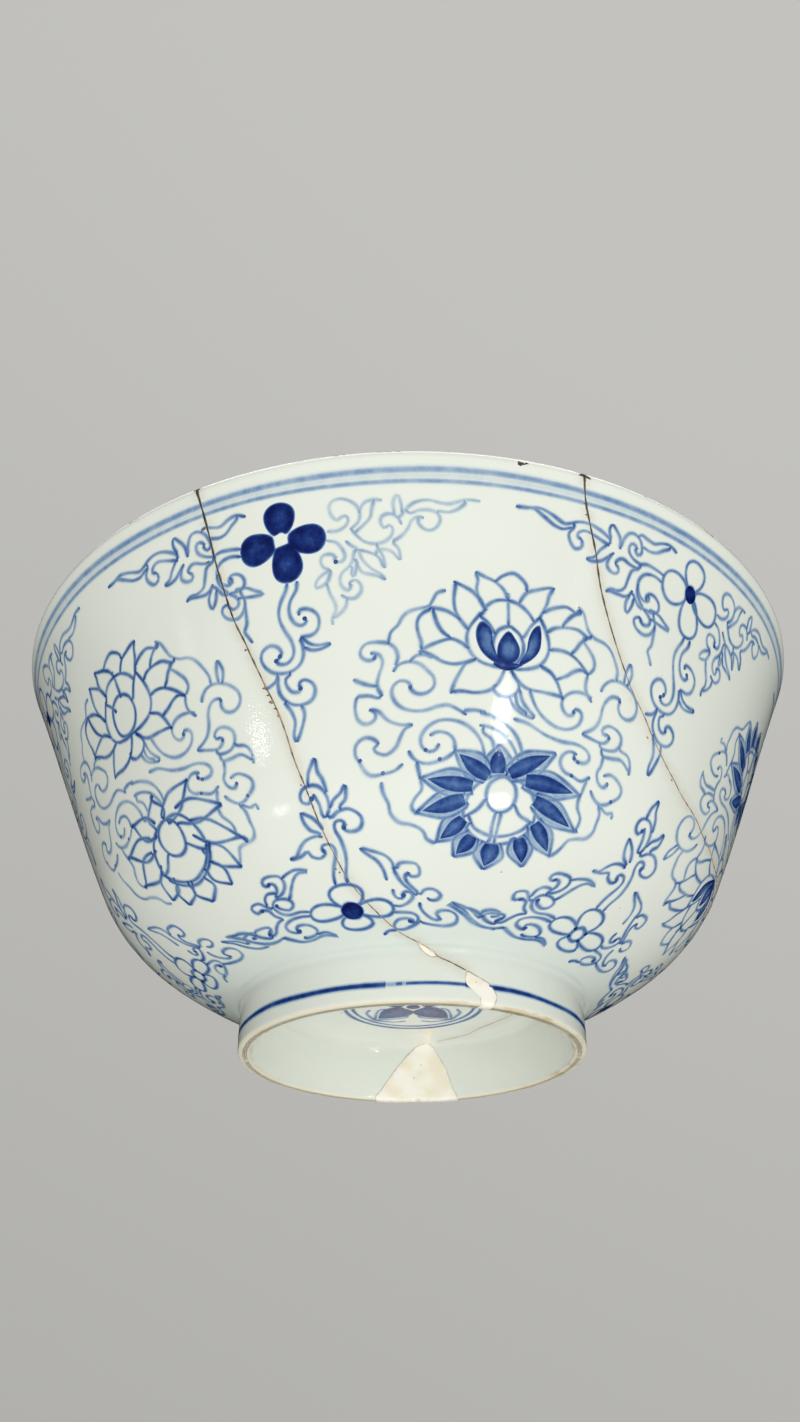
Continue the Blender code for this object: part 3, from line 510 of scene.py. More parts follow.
class BowlColours(bpy.types.PropertyGroup):
    glaze: bpy.props.FloatVectorProperty(
        name="Glaze", description="Colour of the clear glaze over the body", default=(0.80, 0.84, 0.765),
        subtype="COLOR", size=3,
    )
    cobalt: bpy.props.FloatVectorProperty(
        name="Cobalt", description="Light that one unit of cobalt takes away", default=(1.0, 0.71, 0.32),
        size=3,
    )
    strength: bpy.props.FloatProperty(
        name="Cobalt strength", description="Units of cobalt in the darkest paint", default=6.0
    )
    line: bpy.props.FloatProperty(name="Line ink", description="Ink in a painted line", default=0.575)
    line_width: bpy.props.FloatProperty(
        name="Line width", description="Half width of a painted line, soft edge included", default=0.00037,
        unit="LENGTH",
    )
    clay: bpy.props.FloatVectorProperty(
        name="Bare clay", description="Colour of the unglazed tread", default=(0.80, 0.76, 0.60),
        subtype="COLOR", size=3,
    )
    filler: bpy.props.FloatVectorProperty(
        name="Filler", description="Colour of the filler", default=(0.97, 0.94, 0.84), subtype="COLOR", size=3
    )


class BowlStudio(bpy.types.PropertyGroup):
    lens: bpy.props.FloatProperty(name="Lens", description="Focal length in millimetres", default=29.31)
    position: bpy.props.FloatVectorProperty(
        name="Camera", description="Where the camera stands", default=(0.0, -0.20208, -0.05815), size=3,
        unit="LENGTH",
    )
    turn: bpy.props.FloatVectorProperty(
        name="Camera turn", description="Pitch, yaw and roll of the camera",
        default=(0.572037, -0.00797565, -0.00834259), size=3, unit="ROTATION",
    )
    backdrop: bpy.props.FloatVectorProperty(
        name="Backdrop", description="Colour behind the bowl", default=(0.53, 0.525, 0.505),
        subtype="COLOR", size=3,
    )
    room: bpy.props.FloatProperty(
        name="Room light", description="Strength of the light from all round", default=0.545
    )


def bezier(start, start_handle, end_handle, end, count):
    """Cubic curve: the four points weighted by the Bernstein weights of t from 0 to 1."""
    t = np.linspace(0.0, 1.0, count)[:, None]
    return (
        (1 - t) ** 3 * start
        + 3 * (1 - t) ** 2 * t * start_handle
        + 3 * (1 - t) * t**2 * end_handle
        + t**3 * end
    )


def heading(degrees):
    """Unit vector at an angle above the horizontal: its cosine, then its sine."""
    return np.array([math.cos(math.radians(degrees)), math.sin(math.radians(degrees))])


def rounded(before, corner, after, reach, count=8):
    """A corner made a parabola whose ends lie at the reach from it on both sides."""
    back = (before - corner) / np.linalg.norm(before - corner)
    ahead = (after - corner) / np.linalg.norm(after - corner)
    t = np.linspace(0.0, 1.0, count)[:, None]
    return (1 - t) ** 2 * (corner + reach * back) + 2 * (1 - t) * t * corner + t**2 * (corner + reach * ahead)


def inward(points):
    """The direction of the line at each point, turned a quarter turn to the left."""
    along = np.gradient(points, axis=0)
    along /= np.linalg.norm(along, axis=1)[:, None]
    return np.stack([-along[:, 1], along[:, 0]], axis=-1)


def outer_wall(height=HEIGHT):
    """Outer wall from the spring to the lip: two cubic curves that meet at the shoulder with one slope."""
    spring = np.array(SPRING)
    shoulder = np.array(SHOULDER)
    centre = np.array([RIM_RADIUS - RIM_WALL / 2, height - RIM_WALL / 2])
    lip = centre + RIM_WALL / 2 * heading(LIP_SLOPE - 90.0)
    reach = LOWER_FULLNESS * np.linalg.norm(shoulder - spring)
    leaving, arriving = reach * heading(LOWER_SLOPE), reach * heading(SHOULDER_SLOPE)
    low = bezier(spring, spring + leaving, shoulder - arriving, shoulder, WALL_POINTS)
    reach = np.linalg.norm(lip - shoulder) / 3
    leaving, arriving = reach * heading(SHOULDER_SLOPE), reach * heading(LIP_SLOPE)
    high = bezier(shoulder, shoulder + leaving, lip - arriving, lip, WALL_POINTS)
    return np.vstack([low, high[1:]]), centre


def walked_along(line):
    """Length from a line's start to each of its points."""
    return np.concatenate([[0.0], np.cumsum(np.linalg.norm(np.diff(line, axis=0), axis=1))])


def camera_axes(turn):
    """The camera's right, up and ahead: ahead from its pitch and yaw, then a roll about it."""
    pitch, yaw, roll = turn
    ahead = np.array([math.sin(yaw) * math.cos(pitch), math.cos(yaw) * math.cos(pitch), math.sin(pitch)])
    right = np.array([math.cos(yaw), -math.sin(yaw), 0.0])
    up = np.cross(right, ahead)
    return math.cos(roll) * right + math.sin(roll) * up, -math.sin(roll) * right + math.cos(roll) * up, ahead


def off_photo(traces, azimuth, length):
    """Strokes in pixels as millimetres (across, up) in the plane of a motif at an azimuth and length. A
    pixel's line of sight meets the wall where its distance from Z first falls to the wall's radius at its
    height. Across is the turn from the motif's azimuth times that distance, and up is the wall's length there
    less the motif's."""
    wall, _ = outer_wall(DESIGN_HEIGHT)
    lengths = walked_along(wall)
    right, up, ahead = camera_axes(PHOTO_TURN)
    reach = np.linspace(*PHOTO_REACH, PHOTO_STEPS)[:, None]
    strokes = []
    for trace in traces:
        flat = []
        for x, y in trace:
            aside = (x - PHOTO_MIDDLE[0]) / PHOTO_FOCAL
            sunk = (y - PHOTO_MIDDLE[1]) / PHOTO_FOCAL
            sight = ahead + aside * right - sunk * up
            seen = np.array(PHOTO_PLACE) + reach * sight / np.linalg.norm(sight)
            radius = np.interp(seen[:, 2], wall[:, 1], wall[:, 0], left=np.nan, right=np.nan)
            gap = np.hypot(seen[:, 0], seen[:, 1]) - radius
            first = np.flatnonzero((gap[:-1] > 0) & (gap[1:] <= 0))[0]
            share = gap[first] / (gap[first] - gap[first + 1])
            met = seen[first] * (1 - share) + seen[first + 1] * share
            turn = math.atan2(met[0], -met[1]) - math.radians(azimuth)
            risen = np.interp(met[2], wall[:, 1], lengths)
            flat.append((round(turn * math.hypot(met[0], met[1]) / MM, 1), round(risen / MM - length, 1)))
        strokes.append(flat)
    return strokes


def half_section():
    """The closed half section, from the axis under the base out over the foot ring, up the outer wall, over
    the lip and down the inside to the axis, as (radius, height). Also the index of the spring."""
    wall, centre = outer_wall()
    steps = walked_along(wall)
    run = steps / steps[-1]
    thickness = RIM_WALL + (SPRING_WALL - RIM_WALL) * (1 - run) ** WALL_THINNING
    inner = wall + thickness[:, None] * inward(wall)
    join = inner[FLOOR_JOIN]
    slope = (inner[FLOOR_JOIN + 1] - join) / np.linalg.norm(inner[FLOOR_JOIN + 1] - join)
    floor_centre = np.array([0.0, FLOOR_TOP])
    reach = min((join[1] - floor_centre[1]) / slope[1], join[0] / 2)
    floor = bezier(floor_centre, floor_centre + np.array([join[0] / 2, 0.0]), join - reach * slope, join, 120)
    turn = np.radians(np.linspace(LIP_SLOPE - 90.0, LIP_SLOPE + 90.0, 24))
    lip = centre + RIM_WALL / 2 * np.stack([np.cos(turn), np.sin(turn)], axis=-1)
    corners = [np.array(corner[:2]) for corner in FOOT_CORNERS]
    fold_corner = np.array([FOOT_RADIUS, SPRING[1]])
    line = [np.array([0.0, BASE_HEIGHT]), *corners, fold_corner]
    under = [line[0][None, :]]
    for index, (_, _, reach) in enumerate(FOOT_CORNERS):
        under.append(rounded(line[index], line[index + 1], line[index + 2], reach))
    fold = rounded(corners[-1], fold_corner, wall[0], SPRING[0] - FOOT_RADIUS)
    under.append(fold[:-1])
    below = np.vstack(under)
    section = np.vstack([below, wall, lip[1:-1], inner[:FLOOR_JOIN:-1], floor[::-1]])
    return section, len(below)


def skin_table(spacing=0.0001):
    """Rows along the half section: length from the spring, radius, height, outward radius, outward height."""
    section, spring = half_section()
    steps = walked_along(section)
    length = np.linspace(0.0, steps[-1], int(steps[-1] / spacing))
    points = np.stack([np.interp(length, steps, section[:, axis]) for axis in (0, 1)], axis=-1)
    along = np.gradient(points, axis=0)
    soft = np.ones(7) / 7
    padded = [np.pad(along[:, axis], 3, "edge") for axis in (0, 1)]
    along = np.stack([np.convolve(values, soft, "valid") for values in padded], axis=-1)
    along /= np.linalg.norm(along, axis=1)[:, None]
    return np.column_stack([length - steps[spring], points, along[:, 1], -along[:, 0]])


SKIN = skin_table()


def skin_at(azimuth, length, lift):
    """Points and outward directions at azimuths (radians) and lengths, raised by the lift: the section's
    point swung round Z by the azimuth, plus the lift times its outward direction."""
    radius, height, out, up = (np.interp(length, SKIN[:, 0], SKIN[:, column]) for column in range(1, 5))
    sine, cosine = np.sin(azimuth), np.cos(azimuth)
    outward = np.stack([out * sine, -out * cosine, up], axis=-1)
    points = np.stack([radius * sine, -radius * cosine, height], axis=-1)
    return points + lift[..., None] * outward, outward


def around(azimuth, length):
    """A motif's own plane laid on the wall: across becomes an arc at that height, upwards a length."""

    def placed(flat, lift):
        along = length * MM + flat[..., 1]
        radius = np.interp(along, SKIN[:, 0], SKIN[:, 1])
        return skin_at(math.radians(azimuth) + flat[..., 0] / radius, along, lift)

    return placed


def by_azimuth(flat, lift):
    """A plane of (azimuth in degrees, length) laid on the skin."""
    return skin_at(np.radians(flat[..., 0] / MM), flat[..., 1], lift)


def on_base(flat, lift):
    """The base's underside seen from below, its front edge up: the azimuth is the arc tangent of across over
    up, and the length grows with the distance from the middle."""
    azimuth = np.arctan2(flat[..., 0], flat[..., 1])
    return skin_at(azimuth, SKIN[0, 0] + np.hypot(flat[..., 0], flat[..., 1]), lift)


def smooth_path(points, step):
    """A Catmull-Rom curve through the points, walked at even steps."""
    known = np.asarray(points, float)
    closed = len(known) > 3 and np.allclose(known[0], known[-1])
    first = known[-2] if closed else 2 * known[0] - known[1]
    last = known[1] if closed else 2 * known[-1] - known[-2]
    wide = np.vstack([first, known, last])
    t = np.linspace(0.0, 1.0, 8, endpoint=False)[None, :, None]
    a, b, c, d = (wide[start : len(wide) - 3 + start, None, :] for start in range(4))
    curve = 0.5 * (2 * b + (c - a) * t + (2 * a - 5 * b + 4 * c - d) * t**2 + (3 * b - a - 3 * c + d) * t**3)
    curve = np.vstack([curve.reshape(-1, 2), known[-1]])
    walked = walked_along(curve)
    count = max(4, int(math.ceil(walked[-1] / step)) + 1)
    even = np.linspace(0.0, walked[-1], count)
    return np.stack([np.interp(even, walked, curve[:, axis]) for axis in (0, 1)], axis=-1), even


LINE_ACROSS = np.array([-1.9, -1.0, -0.55, 0.0, 0.55, 1.0, 1.9])
LINE_INK = np.array([0.0, 0.34, 0.82, 1.0, 0.82, 0.34, 0.0])
FILL_ACROSS = np.array([-1.15, -1.0, -0.85, 0.0, 0.85, 1.0, 1.15])
FILL_INK = np.array([0.0, 0.62, 1.0, 0.76, 1.0, 0.62, 0.0])
HAIR_ACROSS = np.array([-1.0, 0.0, 1.0])
HAIR_INK = np.array([0.0, 1.0, 0.0])
BLOB_SHARE = np.array([0.001, 0.4, 0.7, 0.88, 0.98, 1.08])
BLOB_INK = {
    "blob": np.array([0.84, 0.92, 1.0, 1.0, 0.74, 0.0]),
    "wash": np.array([0.62, 0.68, 0.86, 1.0, 0.80, 0.0]),
}
PROFILES = {
    "line": (LINE_ACROSS, LINE_INK),
    "band": (LINE_ACROSS, LINE_INK),
    "leaf": (FILL_ACROSS, FILL_INK),
    "hair": (HAIR_ACROSS, HAIR_INK),
}


def stroke_grid(kind, half, ink, path, step):
    """A band along a curve: a point is the curve's point plus its left hand direction times the half width
    and the place across. Paint pools darker at a line's ends, a band is even, a hair wavers and grows
    thinner, and a leaf runs out to a tip."""
    centre, walked = smooth_path(path, step)
    along = np.gradient(centre, axis=0)
    along /= np.linalg.norm(along, axis=1)[:, None] + 1e-12
    left = np.stack([-along[:, 1], along[:, 0]], axis=-1)
    to_end = np.minimum(walked, walked[-1] - walked)
    pooled = np.ones(len(centre))
    if kind == "leaf":
        width = np.sin(math.pi * (0.24 + 0.76 * walked / walked[-1])) + 0.04
    elif kind == "hair":
        width = 1 + 0.35 * np.sin(walked * 2100.0) * np.sin(walked * 830.0 + 1.0)
        width *= 1.40 - 0.55 * np.clip(walked / 0.032, 0.0, 1.0)
    elif kind == "band":
        width = 1 + 0.05 * np.sin(walked * 150.0)
        pooled = 1 + 0.07 * np.sin(walked * 90.0 + 1.0)
    elif np.allclose(centre[0], centre[-1]):
        width = 1 + 0.12 * np.sin(walked * 700.0)
    else:
        opening = 0.55 + 0.45 * np.clip(to_end / half, 0.0, 1.0)
        width = opening * (1 + 0.13 * np.sin(walked * 900.0 + path[0, 0] * 9e3))
        pooled = 0.93 + 0.42 * np.exp(-to_end / (1.8 * half))
        pooled = pooled + 0.09 * np.sin(walked * 600.0 + path[0, 1] * 9e3)
    across, profile = PROFILES[kind]
    flat = centre[:, None, :] + (half * width)[:, None, None] * across[None, :, None] * left[:, None, :]
    last = len(across) - 1
    index = np.arange(len(centre) * (last + 1)).reshape(-1, last + 1)
    near, far = index[:-1], index[1:]
    top = np.stack([near[:, :-1], far[:, :-1], far[:, 1:], near[:, 1:]], axis=-1).reshape(-1, 4)
    under = np.stack([near[:, 0], near[:, last], far[:, last], far[:, 0]], axis=-1)
    return flat, np.minimum(ink * pooled[:, None] * profile[None, :], 1.0), np.vstack([under, top])


def blob_grid(kind, ink, path, step):
    """A closed outline filled in: a point is the middle plus a share of the way to the outline. A wash is
    paler in its middle than a blob."""
    edge = smooth_path(path, step)[0][:-1]
    if np.sum(edge[:, 0] * np.roll(edge[:, 1], -1) - edge[:, 1] * np.roll(edge[:, 0], -1)) < 0:
        edge = edge[::-1]
    middle = edge.mean(axis=0)
    flat = middle + BLOB_SHARE[:, None, None] * (edge - middle)[None, :, :]
    index = np.arange(flat.shape[0] * flat.shape[1]).reshape(flat.shape[:2])
    beside = np.roll(index, -1, axis=1)
    quads = np.stack([index[:-1], index[1:], beside[1:], beside[:-1]], axis=-1).reshape(-1, 4)
    return flat, ink * np.repeat(BLOB_INK[kind][:, None], flat.shape[1], axis=1), quads


def brushed(strokes, placed, step, height):
    """All strokes laid on a surface. The paint's height follows its ink, so that the darkest of two strokes
    that cross lies on top, and its soft edge dips under the glaze. A stroke is (kind, half width, ink,
    points)."""
    points, outward, inks, flats, quads, start = [], [], [], [], [], 0
    for kind, half, ink, path in strokes:
        path = np.asarray(path) * MM
        if kind in BLOB_INK:
            flat, value, faces = blob_grid(kind, ink, path, step)
        else:
            flat, value, faces = stroke_grid(kind, half, ink, path, step)
        lift = np.where(value > 0, 0.4 * height + height * value, -0.3 * height)
        where, out = placed(flat, lift)
        points.append(where.reshape(-1, 3))
        outward.append(out.reshape(-1, 3))
        inks.append(value.ravel())
        flats.append(flat.reshape(-1, 2))
        quads.append(faces + start)
        start += value.size
    return np.vstack(points), np.vstack(outward), np.concatenate(inks), np.vstack(flats), np.vstack(quads)


def mesh_of(name, points, quads, uv=None, ink=None, outward=None, triangles=None):
    """A mesh object from arrays, with its bake map, its ink and the surface's own directions for shading."""
    mesh = bpy.data.meshes.new(name)
    triangles = np.zeros((0, 3), int) if triangles is None else triangles
    corners = np.concatenate([quads.ravel(), triangles.ravel()]).astype(np.int32)
    sizes = np.concatenate([np.full(len(quads), 4), np.full(len(triangles), 3)]).astype(np.int32)
    mesh.vertices.add(len(points))
    mesh.vertices.foreach_set("co", points.astype(np.float32).ravel())
    mesh.loops.add(len(corners))
    mesh.loops.foreach_set("vertex_index", corners)
    mesh.polygons.add(len(sizes))
    mesh.polygons.foreach_set("loop_start", np.concatenate([[0], np.cumsum(sizes)[:-1]]).astype(np.int32))
    mesh.update(calc_edges=True)
    if uv is not None:
        layer = mesh.uv_layers.new(name="OFBake")
        layer.data.foreach_set("uv", uv.astype(np.float32).ravel())
    if ink is not None:
        mesh.attributes.new("ink", "FLOAT", "POINT").data.foreach_set("value", ink.astype(np.float32))
    mesh.validate()
    if outward is not None:
        mesh.normals_split_custom_set_from_vertices(outward.astype(np.float32))
    obj = bpy.data.objects.new(name, mesh)
    bpy.context.scene.collection.objects.link(obj)
    return obj


def painted(name, strokes, placed):
    """A piece made of brush strokes, in the glaze's material, riding on the bowl."""
    sizes = bpy.context.scene.bowl_sizes
    points, outward, ink, flat, quads = brushed(strokes, placed, sizes.brush_step, sizes.paint_height)
    low, high = flat.min(axis=0), flat.max(axis=0)
    uv = (0.02 + 0.96 * (flat - low) / (high - low).max())[quads.ravel()]
    obj = mesh_of(name, points, quads, uv=uv, ink=ink, outward=outward)
    obj.data.materials.append(glaze_material())
    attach(obj, "root")
    return obj


class Number:
    """A number socket under arithmetic: each operator adds its Math node."""

    def __init__(self, graph, socket):
        self.graph = graph
        self.socket = socket

    def math(self, operation, *others, swapped=False, clamp=False):
        terms = [self, *others]
        if swapped:
            terms.reverse()
        settings = {"operation": operation, "use_clamp": clamp}
        made = self.graph.node("ShaderNodeMath", settings, dict(enumerate(terms)))
        return Number(self.graph, made.outputs[0])

    def __add__(self, other):
        return self.math("ADD", other)

    def __sub__(self, other):
        return self.math("SUBTRACT", other)

    def __rsub__(self, other):
        return self.math("SUBTRACT", other, swapped=True)

    def __mul__(self, other):
        return self.math("MULTIPLY", other)

    def __truediv__(self, other):
        return self.math("DIVIDE", other)

    def __pow__(self, other):
        return self.math("POWER", other)

    def __lt__(self, other):
        return self.math("LESS_THAN", other)

    def __gt__(self, other):
        return self.math("GREATER_THAN", other)

    __radd__ = __add__
    __rmul__ = __mul__

    def step(self, low, high):
        """0 at low, 1 at high, and a smooth curve between them."""
        made = self.graph.node(
            "ShaderNodeMapRange",
            {"interpolation_type": "SMOOTHSTEP"},
            {"Value": self, "From Min": low, "From Max": high, "To Min": 0.0, "To Max": 1.0},
        )
        return Number(self.graph, made.outputs["Result"])


class Graph:
    """A material's node tree, with one method that adds any node."""

    def __init__(self, name):
        self.material = bpy.data.materials.new(name)
        self.material.use_nodes = True
        self.tree = self.material.node_tree
        self.shader = self.tree.nodes["Principled BSDF"]
        self.place = self.node("ShaderNodeTexCoord").outputs["Object"]

    def node(self, kind, settings=None, values=None):
        """A node of a type: its settings first, then each input's value or link."""
        made = self.tree.nodes.new(kind)
        for key, value in (settings or {}).items():
            setattr(made, key, value)
        for key, value in (values or {}).items():
            self.set(made.inputs[key], value)
        return made

    def set(self, socket, value):
        if isinstance(value, Number):
            value = value.socket
        if isinstance(value, bpy.types.NodeSocket):
            self.tree.links.new(value, socket)
        elif socket.type == "RGBA":
            socket.default_value = (*value[:3], 1.0)
        else:
            socket.default_value = value

    def finish(self, **values):
        for key, value in values.items():
            self.set(self.shader.inputs[key.replace("_", " ")], value)
        return self.material

    def noise(self, scale, detail=2.0, roughness=0.5):
        made = self.node(
            "ShaderNodeTexNoise",
            {"noise_dimensions": "3D"},
            {"Vector": self.place, "Scale": scale, "Detail": detail, "Roughness": roughness},
        )
        return Number(self, made.outputs["Fac"])

    def specks(self, scale, size, share):
        """Round specks: near a cell's point, in that share of the cells."""
        made = self.node("ShaderNodeTexVoronoi", {"feature": "F1"}, {"Vector": self.place, "Scale": scale})
        chosen = self.node("ShaderNodeSeparateColor", None, {"Color": made.outputs["Color"]})
        near = 1 - Number(self, made.outputs["Distance"]).step(size * 0.5, size)
        return near * (Number(self, chosen.outputs["Red"]) < share)

    def attribute(self, name):
        return Number(self, self.node("ShaderNodeAttribute", {"attribute_name": name}).outputs["Fac"])

    def mix(self, factor, first, second, blend="MIX"):
        made = self.node("ShaderNodeMix", {"data_type": "RGBA", "blend_type": blend}, {"Factor": factor})
        self.set(made.inputs[6], first)
        self.set(made.inputs[7], second)
        return made.outputs[2]

    def bump(self, height, distance):
        """A Bump node over a height of 0 to 1, worth that distance."""
        made = self.node("ShaderNodeBump", None, {"Strength": 1.0, "Distance": distance, "Height": height})
        return made.outputs["Normal"]


def glaze_material():
    """Painted glaze. Cobalt takes light away as the exponential of minus its dose, more red than blue; the
    tread is bare clay, the glaze pools greener in the fold over the foot ring, and dirt sits in chips and on
    edges."""
    if "painted_glaze" in bpy.data.materials:
        return bpy.data.materials["painted_glaze"]
    colours = bpy.context.scene.bowl_colours
    graph = Graph("painted_glaze")
    split = graph.node("ShaderNodeSeparateXYZ", None, {"Vector": graph.place})
    x, y, height = (Number(graph, split.outputs[axis]) for axis in "XYZ")
    radius = (x * x + y * y) ** 0.5
    cloud = graph.noise(38.0, 3.0)
    grain = graph.noise(900.0, 3.0)
    fine = graph.noise(2600.0, 2.0)
    glaze = graph.mix(cloud.step(0.35, 0.7), tuple(colours.glaze), tuple(0.965 * c for c in colours.glaze))
    pooled = height.step(0.0060, 0.0088) * (1 - height.step(0.0092, 0.0135)) * radius.step(0.0290, 0.0300)
    glaze = graph.mix(pooled * 0.45, glaze, (0.60, 0.70, 0.66))
    wash = graph.noise(330.0, 2.0)
    ink = graph.attribute("ink") * (0.40 + 0.44 * grain + 0.20 * fine + 0.56 * wash)
    dose = colours.strength * (ink**1.75)
    kept = [(dose * -share).math("EXPONENT") for share in colours.cobalt]
    kept = graph.node("ShaderNodeCombineColor", None, dict(zip(("Red", "Green", "Blue"), kept)))
    colour = graph.mix(1.0, glaze, kept.outputs["Color"], "MULTIPLY")
    colour = graph.mix(graph.specks(150.0, 0.045, 0.10) * 0.75, colour, (0.16, 0.10, 0.06))
    stain = graph.attribute("stain")
    colour = graph.mix(stain * (0.10 + 0.35 * grain), colour, (0.50, 0.40, 0.26))
    worn = height.step(HEIGHT - 0.0007, HEIGHT) * graph.noise(420.0, 4.0).step(0.55, 0.75)
    colour = graph.mix(worn * 0.55, colour, (0.48, 0.42, 0.33))
    chipped = graph.attribute("chip")
    grit = graph.mix(graph.noise(1500.0, 3.0).step(0.45, 0.62), (0.10, 0.07, 0.045), (0.66, 0.62, 0.54))
    colour = graph.mix(chipped, colour, grit)
    edge = height + (grain - 0.5) * 0.0005
    bare = (1 - edge.step(0.0002, 0.0005)) * radius.step(0.0265, 0.0272)
    dirt = graph.noise(160.0, 4.0).step(0.42, 0.68)
    side = (x - y * 0.4).step(0.008, 0.026)
    clay = graph.mix(dirt * (0.05 + 0.8 * side), tuple(colours.clay), (0.56, 0.46, 0.22))
    clay = graph.mix(graph.specks(420.0, 0.18, 0.12) * (0.25 + 0.4 * side), clay, (0.30, 0.21, 0.12))
    colour = graph.mix(bare, colour, clay)
    matt = bare.math("MAXIMUM", chipped)
    rough = 0.045 + 0.04 * cloud + 0.62 * matt + 0.12 * stain
    peel = graph.noise(240.0, 1.0)
    relief = peel * 0.40 + grain * 0.60 + fine * (0.80 + 0.3 * matt)
    return graph.finish(Base_Color=colour, Roughness=rough, Normal=graph.bump(relief, 0.00002), IOR=1.5)


def filler_material():
    """Sanded filler: cream with pale and dark grains, matt, with fine scratches and pits."""
    if "sanded_filler" in bpy.data.materials:
        return bpy.data.materials["sanded_filler"]
    graph = Graph("sanded_filler")
    tone = tuple(bpy.context.scene.bowl_colours.filler)
    cloud = graph.noise(260.0, 4.0)
    grain = graph.noise(2400.0, 4.0)
    colour = graph.mix(cloud.step(0.35, 0.7), tone, tuple(c * k for c, k in zip(tone, (0.94, 0.89, 0.78))))
    colour = graph.mix(graph.specks(700.0, 0.16, 0.30) * 0.6, colour, (0.55, 0.44, 0.26))
    colour = graph.mix(grain.step(0.62, 0.75) * 0.35, colour, (0.97, 0.95, 0.88))
    return graph.finish(
        Base_Color=colour, Roughness=0.55 + 0.3 * grain, Normal=graph.bump(grain * 0.6 + cloud * 0.4, 0.00008)
    )


def crack_material():
    """Old dirt and glue in a crack: near black by the lip, brown and broken lower down."""
    if "crack_dirt" in bpy.data.materials:
        return bpy.data.materials["crack_dirt"]
    graph = Graph("crack_dirt")
    split = graph.node("ShaderNodeSeparateXYZ", None, {"Vector": graph.place})
    high = Number(graph, split.outputs["Z"]).step(0.030, 0.060)
    grain = graph.noise(700.0, 4.0)
    brown = graph.mix(grain.step(0.42, 0.60), (0.08, 0.050, 0.028), (0.42, 0.30, 0.17))
    dark = graph.mix(grain.step(0.40, 0.75), (0.030, 0.022, 0.018), (0.12, 0.085, 0.055))
    full = graph.attribute("ink").step(0.05, 0.75)
    tone = graph.mix(full, (0.60, 0.54, 0.42), graph.mix(high, brown, dark))
    return graph.finish(
        Base_Color=tone, Roughness=0.55 + 0.25 * grain, Normal=graph.bump(grain, 0.00006)
    )


def crack_samples():
    """Points along both cracks and the one under the base, closer together than the stain is wide."""
    found = []
    for path in (LEFT_CRACK, RIGHT_CRACK):
        flat, _ = smooth_path(np.asarray(path) * MM, 0.0004)
        found.append(by_azimuth(flat, np.zeros(len(flat)))[0])
        flat, _ = smooth_path(np.asarray(inside_of(path)) * MM, 0.0006)
        found.append(by_azimuth(flat, np.zeros(len(flat)))[0])
    flat, _ = smooth_path(np.asarray(BASE_CRACK) * MM, 0.0006)
    found.append(on_base(flat, np.zeros(len(flat)))[0])
    return np.vstack(found)


def inside_of(path):
    """The same crack on the inner face: over the lip, then down by the same share of the wall."""
    return [(azimuth, LIP_END + 0.955 * (LIP_START - length)) for azimuth, length in path if length > 8.0]


def stain_over(points, reach=0.0011):
    """The bell curve of each point's distance from the nearest crack, for a stain of that reach."""
    cracks = crack_samples()
    nearest = np.full(len(points), 1.0)
    for start in range(0, len(cracks), 40):
        away = np.linalg.norm(points[:, None, :] - cracks[None, start : start + 40], axis=2).min(axis=1)
        nearest = np.minimum(nearest, away)
    return np.exp(-((nearest / reach) ** 2))


def add_attribute(obj, name, values):
    obj.data.attributes.new(name, "FLOAT", "POINT").data.foreach_set("value", values.astype(np.float32))


def body_grid(sizes):
    """Lengths of the rows and azimuths of the columns: close together on lip, foot ring and front."""
    start, end = SKIN[0, 0], SKIN[-1, 0]
    inner_start = (LIP_END + 0.7) * MM
    outer_end = (LIP_START - 0.7) * MM
    marks = [
        (start + 0.0004, -0.0226, 10), (-0.0226, -0.0196, 8), (-0.0196, -0.0122, 7), (-0.0122, -0.0086, 17),
        (-0.0086, -0.0022, 7), (-0.0022, 0.0006, 9), (0.0006, outer_end, int(outer_end / sizes.rows)),
        (outer_end, inner_start, 21),
        (inner_start, end - 0.0004, int((end - inner_start) / (1.5 * sizes.rows))),
    ]
    rows = np.concatenate([np.linspace(low, high, count, endpoint=False) for low, high, count in marks])
    rows = np.append(rows, end - 0.0004)
    step = sizes.front_step
    turns = []
    for low, high, wide in (
        (-180.0, -110.0, 4.0),
        (-110.0, -44.0, 2.0),
        (-44.0, 44.0, 1.0),
        (44.0, 110.0, 2.0),
        (110.0, 180.0, 4.0),
    ):
        count = int(math.radians(high - low) / (step * wide))
        turns.append(np.linspace(math.radians(low), math.radians(high), count, endpoint=False))
    return rows, np.concatenate(turns)


def scooped(points):
    """Vertices inside a chip's scoop, lowered to the scoop's underside. Also how deep in a scoop each is."""
    depth = np.zeros(len(points))
    for azimuth, radius, rise in CHIPS:
        turn, ball = math.radians(azimuth), radius * MM
        side = np.array([math.cos(turn), math.sin(turn), 0.0])
        out = np.array([math.sin(turn), -math.cos(turn), 0.0])
        centre = (RIM_RADIUS - 0.4 * RIM_WALL) * out + np.array([0.0, 0.0, HEIGHT + rise * MM])
        away = points - centre
        ragged = 1 + 0.18 * np.sin(away @ side * 5200.0) * np.sin(away @ out * 4100.0)
        spent = (away @ side / (1.6 * ball * ragged)) ** 2 + (away @ out / (ball * ragged)) ** 2
        below = centre[2] - ball * np.sqrt(np.clip(1 - spent, 0.0, 1.0))
        inside = (spent < 1) & (points[:, 2] > below)
        lowered = (points[inside, 2] - below[inside]) / CHIP_EDGE
        depth[inside] = np.maximum(depth[inside], np.clip(lowered, 0.0, 1.0))
        points[inside, 2] = below[inside]
    return points, depth


